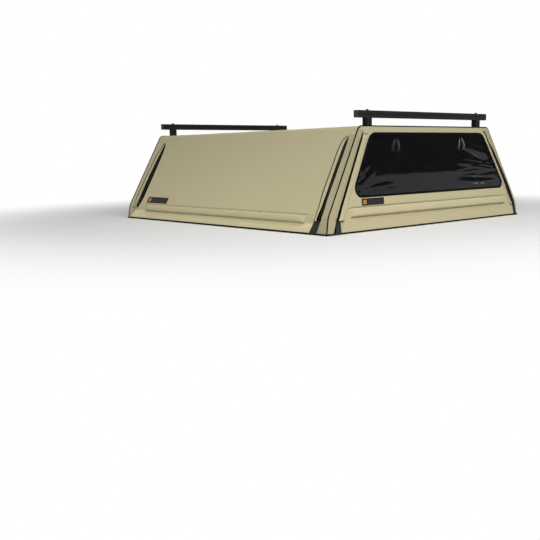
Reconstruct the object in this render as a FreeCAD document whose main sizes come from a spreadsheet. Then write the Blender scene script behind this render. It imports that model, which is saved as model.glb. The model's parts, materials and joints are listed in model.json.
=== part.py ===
import FreeCAD, Part
import math
import os
import re
import Sketcher

# Soft truck canopy: a fabric cover with opening sides and rear over a bolted rail frame,
# with two load bars above the roof. Millimetres, +X right, +Y to the cab, +Z up.
# The origin is the middle of the base, on the surface that the canopy stands on.

# Driving sizes: name, value, meaning
SIZES = [
    ("BaseHalf", 915, "half width of the skin at its base"),
    ("KneeSet", 18, "how far in the skin is at the knee, from its base"),
    ("RoofHalf", 613, "half width of the roof, at its sharp corner"),
    ("HalfLength", 1017, "middle to the front face, and to the rear skin at its base"),
    ("KneeHeight", 96, "height of the knee, where the wall starts to lean in"),
    ("RoofHeight", 585, "top of the roof skin"),
    ("RearKneeSet", 5, "how far forward the rear wall is at the knee"),
    ("RearRoofSet", 44, "how far forward the rear wall is at the roof"),
    ("RoofRadius", 35, "rounding between roof and side wall"),
    ("SkinThick", 4, "thickness of the fabric with its seams"),
    ("SeatGap", 0.5, "clearance between the skin and the frame"),
    ("LayGap", 0.4, "clearance between the skin and what is sewn on it"),
    ("FlapThick", 2.6, "thickness of a storm flap and of the edge piping"),
    ("HemHeight", 10, "height of the base seal, which the rails stand on"),
    ("SealReach", 3, "how far the base seal stands out past the skin"),
    ("SealJoint", 0.6, "gap between two lengths of seal"),
    ("DoorSealRise", 2, "height of the rear door's seal above the floor"),
    ("SideBand", 50, "roof down to the fold line of a side door"),
    ("RearBand", 20, "roof down to the fold line of the rear door"),
    ("HingeGap", 0.4, "gap at a fold line"),
    ("SideZipTopSet", 99, "rear end to a side door's rear zip, at its fold line"),
    ("SideZipFootSet", 68, "rear end to a side door's rear zip, at the floor"),
    ("FrontZipSet", 108, "front end to a side door's front zip"),
    ("RearZipTopSet", 44, "side wall to a rear door zip, at the fold line"),
    ("RearZipKneeSet", 70, "side wall to a rear door zip, at the knee"),
    ("ZipHalf", 10, "half of the slot between a door and its surround"),
    ("DoorClear", 5, "clearance between a door's edge and the zip"),
    ("SideFlap", 25, "width of the flap on a side door's rear edge"),
    ("FrontFlap", 52, "width of the flap beside a side door's front zip"),
    ("RearFlap", 50, "width of a flap on the rear door"),
    ("FlapTopSet", 12, "flap end below the fold line"),
    ("FlapFootSet", 21, "lower end of the flaps, below the knee"),
    ("PocketRise", 8, "how far a rod pocket stands out of the skin"),
    ("PocketTaper", 9, "height of a rod pocket's sloped edge"),
    ("PocketRound", 5, "rounding of a rod pocket's crest"),
    ("SidePocketLow", 36, "side rod pocket, below the knee"),
    ("SidePocketHigh", 9, "side rod pocket, above the knee"),
    ("SidePocketSet", 110, "side rod pocket's end to the zip beside it"),
    ("RearPocketLow", 9, "rear rod pocket, below the knee"),
    ("RearPocketHigh", 41, "rear rod pocket, above the knee"),
    ("RearPocketSet", 80, "rear rod pocket's end to the zip beside it"),
    ("WindowTopSet", 18, "rear window's upper edge below the fold line"),
    ("WindowFootSet", 99, "rear window's lower edge above the knee"),
    ("WindowTopEdge", 60, "rear window's side to the zip, at the window's top"),
    ("WindowFootEdge", 70, "rear window's side to the zip, at the window's foot"),
    ("WindowRadius", 55, "corner radius of the windows"),
    ("FrontWindowTopSet", 85, "front window's upper edge below the roof"),
    ("FrontWindowFootSet", 129, "front window's lower edge above the knee"),
    ("FrontWindowEdge", 200, "front window's side to the side wall"),
    ("PipeWidth", 6, "width of the piping along the front and rear edges"),
    ("RailHeight", 40, "height of every frame rail"),
    ("BaseRailWidth", 45, "width of a base rail along its top"),
    ("EaveWidth", 58, "roof corner to the inner face of the eave rail"),
    ("HeaderDepth", 48, "depth of the front and rear headers"),
    ("CornerPost", 40, "side of a leaning corner post"),
    ("BowWidth", 40, "width of a roof bow"),
    ("BowHeight", 25, "height of a roof bow"),
    ("BowPitch", 480, "distance between roof bows"),
    ("GussetThick", 4, "thickness of a corner gusset"),
    ("GussetLeg", 150, "length of a gusset's leg along a rail"),
    ("GussetEdge", 34, "width of a gusset's leg"),
    ("BarRise", 47, "roof to the underside of the load bars"),
    ("BarDepth", 30, "depth of a load bar"),
    ("BarHeight", 40, "height of a load bar"),
    ("BarOverhang", 95, "load bar's end past the middle of its post"),
    ("BarPost", 38, "side of the posts under the load bars"),
    ("BarPostSide", 17, "post to the eave rail beside it"),
    ("BarPostEnd", 4, "post to the header's outer face"),
    ("SlotWidth", 8, "width of the grooves along bars and posts"),
    ("SlotDepth", 3, "depth of the grooves along bars and posts"),
    ("CapThick", 4, "thickness of a load bar's end cap"),
    ("HoleFit", 0.5, "clearance round a post where it passes the roof"),
    ("BoltHole", 4.5, "radius of the clamp bolt holes in the base rails"),
    ("BoltInset", 25, "bolt hole to the inner face of the base rail"),
    ("BoltEnd", 317, "bolt hole to the end of the canopy"),
    ("Beyond", 60, "how far a trimming shape runs past what it trims"),
]

DOC = FreeCAD.newDocument("TruckCanopy")

# Shape of the walls and places on them, as expressions over the named sizes
KNEE_HALF = "(BaseHalf - KneeSet)"
LEAN = "((BaseHalf - KneeSet - RoofHalf) / (RoofHeight - KneeHeight))"
ACROSS = f"sqrt(1 + {LEAN}^2)"
REAR_LEAN = "((RearRoofSet - RearKneeSet) / (RoofHeight - KneeHeight))"
SEAT = "(SkinThick + SeatGap)"
SIDE_FOLD = "(RoofHeight - SideBand)"
REAR_FOLD = "(RoofHeight - RearBand)"
SKIN_FOOT = "(HemHeight + LayGap)"
SKIN_FRONT = "(HalfLength - SkinThick)"
FRONT_ZIP = "(HalfLength - FrontZipSet)"
FLAP_FOOT = "(KneeHeight - FlapFootSet)"


def wall_x(height):
    """Half width of the skin above the knee."""
    return f"(RoofHalf + (RoofHeight - {height}) * {LEAN})"


def band_x(height):
    """Half width of the skin below the knee."""
    return f"(BaseHalf - KneeSet * {height} / KneeHeight)"


def wall_y(height):
    """Middle to the rear skin above the knee."""
    return f"(HalfLength - RearRoofSet + (RoofHeight - {height}) * {REAR_LEAN})"


def band_y(height):
    """Middle to the rear skin below the knee."""
    return f"(HalfLength - RearKneeSet * {height} / KneeHeight)"


def side_zip(height):
    """Middle to the rear zip of a side door."""
    lean = f"(SideZipTopSet - SideZipFootSet) / {SIDE_FOLD}"
    return f"(HalfLength - SideZipFootSet - {lean} * {height})"


def rear_zip(height):
    """Middle to a zip of the rear door."""
    foot = f"({KNEE_HALF} - RearZipKneeSet)"
    top = f"({wall_x(REAR_FOLD)} - RearZipTopSet)"
    rise = f"({height} - KneeHeight) / ({REAR_FOLD} - KneeHeight)"
    return f"({foot} - ({foot} - {top}) * {rise})"


# Levels and faces of the frame
RAIL_TOP = f"(RoofHeight - {SEAT})"
RAIL_UNDER = f"({RAIL_TOP} - RailHeight)"
BASE_TOP = "(HemHeight + RailHeight)"
BASE_INNER = f"({band_x(BASE_TOP)} - {SEAT} * {ACROSS} - BaseRailWidth)"
EAVE_INNER = "(RoofHalf - EaveWidth)"
BACK = f"({wall_y(RAIL_TOP)} - {SEAT})"
FRONT = f"(HalfLength - {SEAT})"
BAR_UNDER = "(RoofHeight + BarRise)"
BAR_POST_X = f"({EAVE_INNER} - BarPostSide - BarPost / 2)"
BAR_HALF = f"({BAR_POST_X} + BarOverhang)"
REAR_BAR_Y = f"(BarPostEnd + BarPost / 2 - {BACK})"
FRONT_BAR_Y = f"({FRONT} - BarPostEnd - BarPost / 2)"


def bound(text):
    """An expression in which every size is read from the sheet."""
    return re.sub(r"[A-Z][A-Za-z]+", r"Sizes.\g<0>", str(text))


def make_sheet():
    """The spreadsheet that holds the driving sizes."""
    sheet = DOC.addObject("Spreadsheet::Sheet", "Sizes")
    for row, (name, value, meaning) in enumerate(SIZES, start=1):
        sheet.set(f"A{row}", name)
        sheet.set(f"B{row}", str(value))
        sheet.setAlias(f"B{row}", name)
        sheet.set(f"C{row}", meaning)
    DOC.recompute()


def draw(sketch, points):
    """Draws a closed outline whose corners are bound to expressions."""
    count = len(points)
    start = [V(math.cos(math.tau * i / count), math.sin(math.tau * i / count), 0)
             for i in range(count)]
    for i in range(count):
        sketch.addGeometry(Part.LineSegment(start[i], start[(i + 1) % count]), False)
    for i in range(count):
        sketch.addConstraint(Sketcher.Constraint("Coincident", i, 2, (i + 1) % count, 1))
    for i, corner in enumerate(points):
        for kind, value, text in zip(("DistanceX", "DistanceY"), start[i], corner):
            row = sketch.addConstraint(Sketcher.Constraint(kind, i, 1, value))
            sketch.renameConstraint(row, f"{kind}{i}")
            sketch.setExpression(f"Constraints.{kind}{i}", bound(text))


def place(thing, x=0, y=0, z=0):
    """Binds where an object stands."""
    for axis, text in zip("xyz", (x, y, z)):
        if text != 0:
            thing.setExpression(f"Placement.Base.{axis}", bound(text))


def prism(label, plane, points, length, at=(0, 0, 0), rounds=None):
    """A body padded both ways from a plane. rounds: corner number to radius."""
    body = DOC.addObject("PartDesign::Body", label)
    sketch = body.newObject("Sketcher::SketchObject", label + "Sketch")
    origin = [f for f in body.Origin.OriginFeatures if f.Role == plane + "_Plane"]
    sketch.AttachmentSupport = [(origin[0], "")]
    sketch.MapMode = "FlatFace"
    draw(sketch, points)
    pad = body.newObject("PartDesign::Pad", label + "Pad")
    pad.Profile = sketch
    pad.SideType = "Symmetric"
    pad.setExpression("Length", bound(length))
    DOC.recompute()
    last = pad
    for number, (corners, radius) in enumerate(rounds or []):
        fillet = body.newObject("PartDesign::Fillet", f"{label}Round{number}")
        fillet.Base = (last, edges_at(last.Shape, sketch, corners))
        fillet.setExpression("Radius", bound(radius))
        DOC.recompute()
        last = fillet
    place(body, *at)
    return body


def edges_at(shape, sketch, corners):
    """Names of the edges that a pad draws from the given corners of its sketch."""
    names = []
    across = sketch.Placement.inverse()
    for corner in corners:
        spot = sketch.Geometry[corner].StartPoint
        for number, edge in enumerate(shape.Edges, start=1):
            ends = [across.multVec(vertex.Point) for vertex in edge.Vertexes]
            if all(math.hypot(end.x - spot.x, end.y - spot.y) < 0.001 for end in ends):
                names.append(f"Edge{number}")
    return names


def box(label, low, high):
    """A box from its lowest to its highest corner."""
    solid = DOC.addObject("Part::Box", label)
    for name, a, b in zip(("Length", "Width", "Height"), low, high):
        solid.setExpression(name, bound(f"({b}) - ({a})"))
    place(solid, *low)
    return solid


def rod(label, radius, x, y, low, high):
    """An upright cylinder."""
    solid = DOC.addObject("Part::Cylinder", label)
    solid.setExpression("Radius", bound(radius))
    solid.setExpression("Height", bound(f"({high}) - ({low})"))
    place(solid, x, y, low)
    return solid


def common(label, first, second):
    """What two shapes share."""
    result = DOC.addObject("Part::Common", label)
    result.Base = first
    result.Tool = second
    return result


def cut(label, first, second):
    """The first shape less the second."""
    result = DOC.addObject("Part::Cut", label)
    result.Base = first
    result.Tool = second
    return result


def group(label, shapes):
    """Several solids in one shape."""
    result = DOC.addObject("Part::MultiFuse", label)
    result.Shapes = shapes
    return result


def mirrored(label, source):
    """The same piece on the left."""
    result = DOC.addObject("Part::Mirroring", label)
    result.Source = source
    result.Normal = V(1, 0, 0)
    return result


def pair(name, right):
    """A right piece and its mirror image, named left_ and right_."""
    right.Label = "right_" + name
    return [right, mirrored("left_" + name, right)]


def named(label, shape):
    """Gives a finished piece its name."""
    shape.Label = label
    return shape


def block(label, inset):
    """The canopy's outer form, set in by a distance normal to its walls."""
    roof = f"(RoofHeight - ({inset}))"
    base = f"(BaseHalf - ({inset}) * {ACROSS})"
    knee = f"({KNEE_HALF} - ({inset}) * {ACROSS})"
    eave = f"(RoofHalf - ({inset}) * {ACROSS} + ({inset}) * {LEAN})"
    half = [(base, "-Beyond"), (base, "0"), (knee, "KneeHeight"), (eave, roof)]
    other = [("-" + x, z) for x, z in reversed(half)]
    front = prism(label + "Front", "XZ", half + other, f"2 * HalfLength - 2 * ({inset})",
                  rounds=[((3, 4), f"RoofRadius - ({inset})")])
    rear = [(f"-(HalfLength - ({inset}))", "-Beyond"),
            (f"-(HalfLength - ({inset}))", "0"),
            (f"-(HalfLength - RearKneeSet - ({inset}))", "KneeHeight"),
            (f"-(HalfLength - RearRoofSet - ({inset}))", "RoofHeight"),
            (f"-(HalfLength - RearRoofSet - ({inset}))", "RoofHeight + Beyond"),
            ("HalfLength + Beyond", "RoofHeight + Beyond"),
            ("HalfLength + Beyond", "-Beyond")]
    side = prism(label + "Side", "YZ", rear, "4 * BaseHalf")
    return common(label, front, side)


def strip(label, plane, low, high, edges, length, at=(0, 0, 0)):
    """A trimming prism between two edge lines, from one height to another."""
    first, second = edges
    points = [(first(low), low), (second(low), low), (second(high), high), (first(high), high)]
    return prism(label, plane, points, length, at)


def side_strip(label, low, high, first, second):
    """A trimming prism through the right wall, between two lines along the canopy."""
    return strip(label, "YZ", low, high, (first, second), "2 * BaseHalf - Beyond",
                 ("BaseHalf", 0, 0))


def rear_strip(label, low, high, first, second):
    """A trimming prism through the rear wall, between two lines across the canopy."""
    return strip(label, "XZ", low, high, (first, second), "2 * Beyond + RearRoofSet",
                 (0, "-HalfLength", 0))


def slotted(width, height):
    """A section with one groove in the middle of each face."""
    points = []
    for turn in range(4):
        run, rise = (width, height) if turn % 2 == 0 else (height, width)
        corners = [(f"{run} / 2", f"-({rise} / 2)"), (f"{run} / 2", "-SlotWidth / 2"),
                   (f"{run} / 2 - SlotDepth", "-SlotWidth / 2"),
                   (f"{run} / 2 - SlotDepth", "SlotWidth / 2"),
                   (f"{run} / 2", "SlotWidth / 2")]
        for x, y in corners:
            points.append([(x, y), (f"-({y})", x), (f"-({x})", f"-({y})"),
                           (y, f"-({x})")][turn])
    return points


def make_skins(shell):
    """The fixed fabric: roof, corners and front."""
    channel = rear_strip("RearChannel", "-Beyond", REAR_FOLD,
                         lambda z: f"-({rear_zip(z)} + ZipHalf)",
                         lambda z: f"{rear_zip(z)} + ZipHalf")
    fixed = cut("FixedShell", shell, channel)

    above = box("RoofZone", ("-BaseHalf", "-HalfLength - Beyond", SIDE_FOLD),
                ("BaseHalf", SKIN_FRONT, "RoofHeight + Beyond"))
    holes = []
    for name, y in (("Rear", REAR_BAR_Y), ("Front", FRONT_BAR_Y)):
        for side, x in (("Right", BAR_POST_X), ("Left", "-" + BAR_POST_X)):
            reach = "(BarPost / 2 + HoleFit)"
            holes.append(box(f"{name}{side}PostHole",
                             (f"{x} - {reach}", f"{y} - {reach}", "RoofHeight - Beyond"),
                             (f"{x} + {reach}", f"{y} + {reach}", "RoofHeight + Beyond")))
    roof = cut("roof_skin", common("RoofPiece", fixed, above), group("PostHoles", holes))
    pieces = [named("roof_skin", roof)]

    rear_zone = side_strip("RearCornerZone", SKIN_FOOT, SIDE_FOLD,
                           lambda z: "-HalfLength - Beyond",
                           lambda z: f"-({side_zip(z)} + ZipHalf)")
    pieces += pair("rear_corner_skin", common("RearCorner", fixed, rear_zone))
    front_zone = side_strip("FrontCornerZone", SKIN_FOOT, SIDE_FOLD,
                            lambda z: FRONT_ZIP + " + ZipHalf", lambda z: SKIN_FRONT)
    pieces += pair("front_corner_skin", common("FrontCorner", shell, front_zone))

    plate = box("FrontZone", ("-BaseHalf", SKIN_FRONT, SKIN_FOOT),
                ("BaseHalf", "HalfLength + Beyond", "RoofHeight + Beyond"))
    front = common("FrontPlate", shell, plate)
    view = window_zone("FrontWindowZone", "(RoofHeight - FrontWindowTopSet)",
                       "(KneeHeight + FrontWindowFootSet)",
                       lambda z: f"({wall_x(z)} - FrontWindowEdge)",
                       lambda z: f"({wall_x(z)} - FrontWindowEdge)", "HalfLength")
    pieces.append(named("front_panel", cut("FrontPanel", front, view)))
    pieces.append(named("front_window", common("FrontWindow", front, view)))
    return pieces


def window_zone(label, top, foot, top_reach, foot_reach, y):
    """A trimming prism for a window, rounded at its corners."""
    points = [("-" + foot_reach(foot), foot), (foot_reach(foot), foot),
              (top_reach(top), top), ("-" + top_reach(top), top)]
    return prism(label, "XZ", points, "2 * Beyond + RearRoofSet", (0, y, 0),
                 [((0, 1, 2, 3), "WindowRadius")])


def make_doors(shell):
    """The three panels that fold up, and the rear window."""
    side_zone = side_strip("SideDoorZone", SKIN_FOOT, f"({SIDE_FOLD} - HingeGap)",
                           lambda z: f"-({side_zip(z)} - ZipHalf)",
                           lambda z: FRONT_ZIP + " - ZipHalf")
    pieces = pair("side_door", common("SideDoor", shell, side_zone))
    rear_zone = rear_strip("RearDoorZone", SKIN_FOOT, f"({REAR_FOLD} - HingeGap)",
                           lambda z: f"-({rear_zip(z)} - ZipHalf)",
                           lambda z: f"{rear_zip(z)} - ZipHalf")
    rear = common("RearDoorPlate", shell, rear_zone)
    view = window_zone("RearWindowZone", f"({REAR_FOLD} - WindowTopSet)",
                       "(KneeHeight + WindowFootSet)",
                       lambda z: f"({rear_zip(z)} - WindowTopEdge)",
                       lambda z: f"({rear_zip(z)} - WindowFootEdge)", "-HalfLength")
    pieces.append(named("rear_door", cut("RearDoor", rear, view)))
    pieces.append(named("rear_window", common("RearWindow", rear, view)))
    reach = f"({BASE_INNER} - DoorClear)"
    seal = box("RearDoorSeal", (f"-{reach}", "-HalfLength", "DoorSealRise"),
               (reach, "-(HalfLength - RearKneeSet - SkinThick)", "HemHeight"))
    pieces.append(named("rear_door_seal", seal))
    return pieces


def make_zips(shell):
    """The closed zips, sewn to the surround of each door."""
    low, high = SKIN_FOOT, f"({SIDE_FOLD} - HingeGap)"
    rear = common("SideRearZip", shell,
                  side_strip("SideRearZipZone", low, high,
                             lambda z: f"-({side_zip(z)} + ZipHalf)",
                             lambda z: f"-({side_zip(z)} - ZipHalf + DoorClear)"))
    front = common("SideFrontZip", shell,
                   side_strip("SideFrontZipZone", low, high,
                              lambda z: FRONT_ZIP + " - ZipHalf + DoorClear",
                              lambda z: FRONT_ZIP + " + ZipHalf"))
    pieces = pair("side_zips", group("SideZips", [rear, front]))
    right = common("RearZipRight", shell,
                   rear_strip("RearZipZone", low, f"({REAR_FOLD} - HingeGap)",
                              lambda z: f"{rear_zip(z)} - ZipHalf + DoorClear",
                              lambda z: f"{rear_zip(z)} + ZipHalf"))
    left = mirrored("RearZipLeft", right)
    pieces.append(named("rear_zips", group("RearZips", [right, left])))
    return pieces


def make_flaps(layer):
    """The storm flaps beside the zips, and the piping round the two end walls."""
    high = f"({SIDE_FOLD} - FlapTopSet)"
    side = common("SideFlapPiece", layer,
                  side_strip("SideFlapZone", FLAP_FOOT, high,
                             lambda z: f"-{side_zip(z)}",
                             lambda z: f"-({side_zip(z)} - SideFlap)"))
    pieces = pair("rear_side_flap", side)
    front = common("FrontFlapPiece", layer,
                   side_strip("FrontFlapZone", FLAP_FOOT, high,
                              lambda z: FRONT_ZIP + " - ZipHalf + DoorClear",
                              lambda z: FRONT_ZIP + " + FrontFlap"))
    pieces += pair("front_side_flap", front)
    right = common("RearFlapRight", layer,
                   rear_strip("RearFlapZone", FLAP_FOOT, f"({REAR_FOLD} - FlapTopSet)",
                              lambda z: f"{rear_zip(z)} - RearFlap",
                              lambda z: f"{rear_zip(z)}"))
    left = mirrored("RearFlapLeft", right)
    pieces.append(named("rear_door_flaps", group("RearDoorFlaps", [right, left])))

    foot, top = "HemHeight", "(RoofHeight + Beyond)"
    line = [(f"-{band_y(foot)}", foot), (f"-{band_y('KneeHeight')}", "KneeHeight"),
            (f"-{wall_y('RoofHeight')}", "RoofHeight"), (f"-{wall_y('RoofHeight')}", top)]
    back = [(f"{y} + PipeWidth", z) for y, z in reversed(line)]
    rear = common("RearPipe", layer, prism("RearPipeZone", "YZ", line + back, "4 * BaseHalf"))
    front = common("FrontPipe", layer,
                   box("FrontPipeZone", ("-2 * BaseHalf", "HalfLength - PipeWidth", foot),
                       ("2 * BaseHalf", "HalfLength", top)))
    pieces.append(named("edge_piping", group("EdgePiping", [rear, front])))
    return pieces


def pocket_section(below, above, lower, upper, sign):
    """The section of a rod pocket that wraps the knee. sign turns it to the wall."""
    low = f"(KneeHeight - {below})"
    high = f"(KneeHeight + {above})"
    low_crest = f"({low} + PocketTaper)"
    high_crest = f"({high} - PocketTaper)"
    crest = lower if above == "SidePocketHigh" else upper
    points = [(f"{lower(low)} + LayGap", low),
              (f"{lower(low_crest)} + PocketRise", low_crest),
              (f"{crest(high_crest)} + PocketRise", high_crest),
              (f"{upper(high)} + LayGap", high),
              (f"{upper('KneeHeight')} + LayGap", "KneeHeight")]
    return [(f"{sign}({reach})", height) for reach, height in points]


def make_pockets():
    """The stiffening rods in their pockets, along the foot of each door."""
    rounds = [((1, 2), "PocketRound")]
    front_end = f"({FRONT_ZIP} - SidePocketSet)"
    rear_end = f"({side_zip('KneeHeight')} - SidePocketSet)"
    half = f"({rear_zip('(KneeHeight + RearPocketHigh)')} - RearPocketSet)"
    side = prism("SidePocket", "XZ",
                 pocket_section("SidePocketLow", "SidePocketHigh",
                                lambda z: f"{band_x(z)}", lambda z: f"{wall_x(z)}", ""),
                 f"{rear_end} + {front_end}", (0, f"({front_end} - {rear_end}) / 2", 0), rounds)
    pieces = pair("rod_pocket", side)
    rear = prism("RearPocket", "YZ",
                 pocket_section("RearPocketLow", "RearPocketHigh",
                                lambda z: f"{band_y(z)}", lambda z: f"{wall_y(z)}", "-"),
                 f"2 * {half}", rounds=rounds)
    pieces.append(named("rear_rod_pocket", rear))
    return pieces


def clamp_holes():
    """The bolt holes through the side base rails and their seals."""
    holes = []
    along = "(HalfLength - BoltEnd)"
    across = f"({BASE_INNER} + BoltInset)"
    for name, y in (("Rear", "-" + along), ("Front", along)):
        for side, x in (("Right", across), ("Left", "-" + across)):
            holes.append(rod(f"{name}{side}Hole", "BoltHole", x, y, "-Beyond",
                             BASE_TOP + " + Beyond"))
    return group("ClampHoles", holes)


def make_base(seat):
    """The base rails inside the skin and the seals under them."""
    holes = clamp_holes()
    side = box("SideRailBar", (BASE_INNER, "-HalfLength - Beyond", "HemHeight"),
               ("BaseHalf + Beyond", "HalfLength + Beyond", BASE_TOP))
    pieces = pair("base_rail", cut("SideRail", common("SideRailForm", side, seat), holes))
    behind = f"({FRONT} - BaseRailWidth)"
    front = box("FrontRailBar", ("-" + BASE_INNER, behind, "HemHeight"),
                (BASE_INNER, "HalfLength + Beyond", BASE_TOP))
    pieces.append(named("front_base_rail", common("FrontRail", front, seat)))

    edge = "(BaseHalf + SealReach)"
    end = "(HalfLength + SealReach)"
    right = box("RightSeal", (BASE_INNER, f"-{end}", "0"), (edge, end, "HemHeight"))
    front = box("FrontSeal", (f"-{BASE_INNER} + SealJoint", behind, "0"),
                (f"{BASE_INNER} - SealJoint", end, "HemHeight"))
    strips = [right, mirrored("LeftSeal", right), front]
    pieces.append(named("base_seal", cut("BaseSeal", group("SealStrips", strips), holes)))
    return pieces


def make_posts():
    """The four corner posts, which lean in from the base rails to the eave rails."""
    half = {"Low": (band_x(BASE_TOP), BASE_TOP), "High": (wall_x(RAIL_UNDER), RAIL_UNDER)}
    rear = {"Low": band_y(BASE_TOP), "High": wall_y(RAIL_UNDER)}
    pieces = []
    for end in ("rear", "front"):
        sections = []
        for level, (reach, height) in half.items():
            x = f"({reach} - {SEAT} * {ACROSS})"
            far = f"(-({rear[level]} - {SEAT}))" if end == "rear" else FRONT
            near = f"({far} {'+' if end == 'rear' else '-'} CornerPost)"
            sketch = DOC.addObject("Sketcher::SketchObject", f"{end}Post{level}")
            draw(sketch, [(f"{x} - CornerPost", far), (x, far), (x, near),
                          (f"{x} - CornerPost", near)])
            place(sketch, 0, 0, height)
            sections.append(sketch)
        post = DOC.addObject("Part::Loft", f"{end}PostLoft")
        post.Sections = sections
        post.Solid = True
        post.Ruled = True
        pieces += pair(f"{end}_corner_post", post)
    return pieces


def make_top_frame(seat):
    """Eave rails, headers, bows and gussets under the roof skin."""
    side = box("EaveBar", (EAVE_INNER, "-HalfLength - Beyond", RAIL_UNDER),
               ("BaseHalf", "HalfLength + Beyond", RAIL_TOP))
    pieces = pair("eave_rail", common("EaveRail", side, seat))

    rear = box("RearHeaderBar", ("-" + EAVE_INNER, "-HalfLength - Beyond", RAIL_UNDER),
               (EAVE_INNER, f"HeaderDepth - {BACK}", RAIL_TOP))
    pieces.append(named("rear_header", common("RearHeader", rear, seat)))
    front = box("FrontHeaderBar", ("-" + EAVE_INNER, f"{FRONT} - HeaderDepth", RAIL_UNDER),
                (EAVE_INNER, "HalfLength + Beyond", RAIL_TOP))
    pieces.append(named("front_header", common("FrontHeader", front, seat)))

    bows = []
    for number in (-1, 0, 1):
        y = f"({number} * BowPitch)"
        bows.append(box(f"Bow{number + 2}",
                        ("-" + EAVE_INNER, f"{y} - BowWidth / 2", f"{RAIL_TOP} - BowHeight"),
                        (EAVE_INNER, f"{y} + BowWidth / 2", RAIL_TOP)))
    pieces.append(named("roof_bows", group("RoofBows", bows)))

    gussets = []
    for name, end, sign in (("Rear", f"(-{BACK})", 1), ("Front", FRONT, -1)):
        points = [(f"{EAVE_INNER} - GussetLeg", f"{end} + {sign} * SeatGap"),
                  (f"{EAVE_INNER} + GussetEdge", f"{end} + {sign} * SeatGap"),
                  (f"{EAVE_INNER} + GussetEdge", f"{end} + {sign} * (HeaderDepth + GussetLeg)"),
                  (EAVE_INNER, f"{end} + {sign} * (HeaderDepth + GussetLeg)"),
                  (f"{EAVE_INNER} - GussetLeg", f"{end} + {sign} * GussetEdge")]
        plate = prism(name + "Gusset", "XY", points, "GussetThick",
                      (0, 0, f"{RAIL_UNDER} - GussetThick / 2"))
        gussets += [plate, mirrored(name + "GussetLeft", plate)]
    pieces.append(named("corner_gussets", group("CornerGussets", gussets)))
    return pieces


def make_load_bars():
    """Two load bars on posts that pass through the roof skin to the headers."""
    pieces = []
    for end, y in (("rear", REAR_BAR_Y), ("front", FRONT_BAR_Y)):
        middle = f"(({RAIL_TOP} + {BAR_UNDER}) / 2)"
        post = prism(f"{end}BarPost", "XY", slotted("BarPost", "BarPost"),
                     f"{BAR_UNDER} - {RAIL_TOP}", (BAR_POST_X, y, middle))
        pieces += pair(f"{end}_bar_post", post)
        bar = prism(f"{end}Bar", "YZ", slotted("BarDepth", "BarHeight"),
                    f"2 * ({BAR_HALF} - CapThick)", (0, y, f"{BAR_UNDER} + BarHeight / 2"))
        pieces.append(named(f"{end}_load_bar", bar))
        cap = box(f"{end}RightCap",
                  (f"{BAR_HALF} - CapThick", f"{y} - BarDepth / 2", BAR_UNDER),
                  (BAR_HALF, f"{y} + BarDepth / 2", f"{BAR_UNDER} + BarHeight"))
        caps = group(f"{end}Caps", [cap, mirrored(f"{end}LeftCap", cap)])
        pieces.append(named(f"{end}_bar_caps", caps))
    return pieces


def check(pieces):
    """Stops if anything failed to build."""
    for thing in DOC.Objects:
        if "Invalid" in thing.State or "Error" in thing.State:
            raise RuntimeError(f"{thing.Name} failed: {thing.State}")
    for piece in pieces:
        if piece.Shape.isNull() or not piece.Shape.isValid() or not piece.Shape.Solids:
            raise RuntimeError(f"{piece.Label} has no valid solid")


def main():
    """Builds the canopy and writes one file for each piece."""
    make_sheet()
    outer = block("OuterForm", "0")
    inner = block("InnerForm", "SkinThick")
    seat = block("SeatForm", SEAT)
    lay = block("LayForm", "-LayGap")
    over = block("FlapForm", "-LayGap - FlapThick")
    shell = cut("Shell", outer, inner)
    layer = cut("FlapLayer", over, lay)
    pieces = make_skins(shell)
    pieces += make_doors(shell)
    pieces += make_zips(shell)
    pieces += make_flaps(layer)
    pieces += make_pockets()
    pieces += make_base(seat)
    pieces += make_posts()
    pieces += make_top_frame(seat)
    pieces += make_load_bars()
    DOC.recompute()
    check(pieces)
    os.makedirs("parts", exist_ok=True)
    for piece in pieces:
        piece.Shape.exportStep(f"parts/{piece.Label}.step")
        box_size = piece.Shape.BoundBox
        print(f"{piece.Label:24} solids {len(piece.Shape.Solids)}"
              f" volume {piece.Shape.Volume / 1e6:8.3f} l"
              f" size {box_size.XLength:.0f} x {box_size.YLength:.0f} x {box_size.ZLength:.0f}")


V = FreeCAD.Vector
main()
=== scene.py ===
"""Dresses the soft truck canopy: cloth shell, windows, zips, trim, load bars and studio."""

import json
import logging
import math
from dataclasses import dataclass
from enum import Enum
from functools import cached_property
from typing import Callable, Protocol, Sequence

import bmesh
import bpy
from bpy.types import Material, Node, NodeSocket, NodeTree
from mathutils import Matrix, Vector, noise

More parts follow.
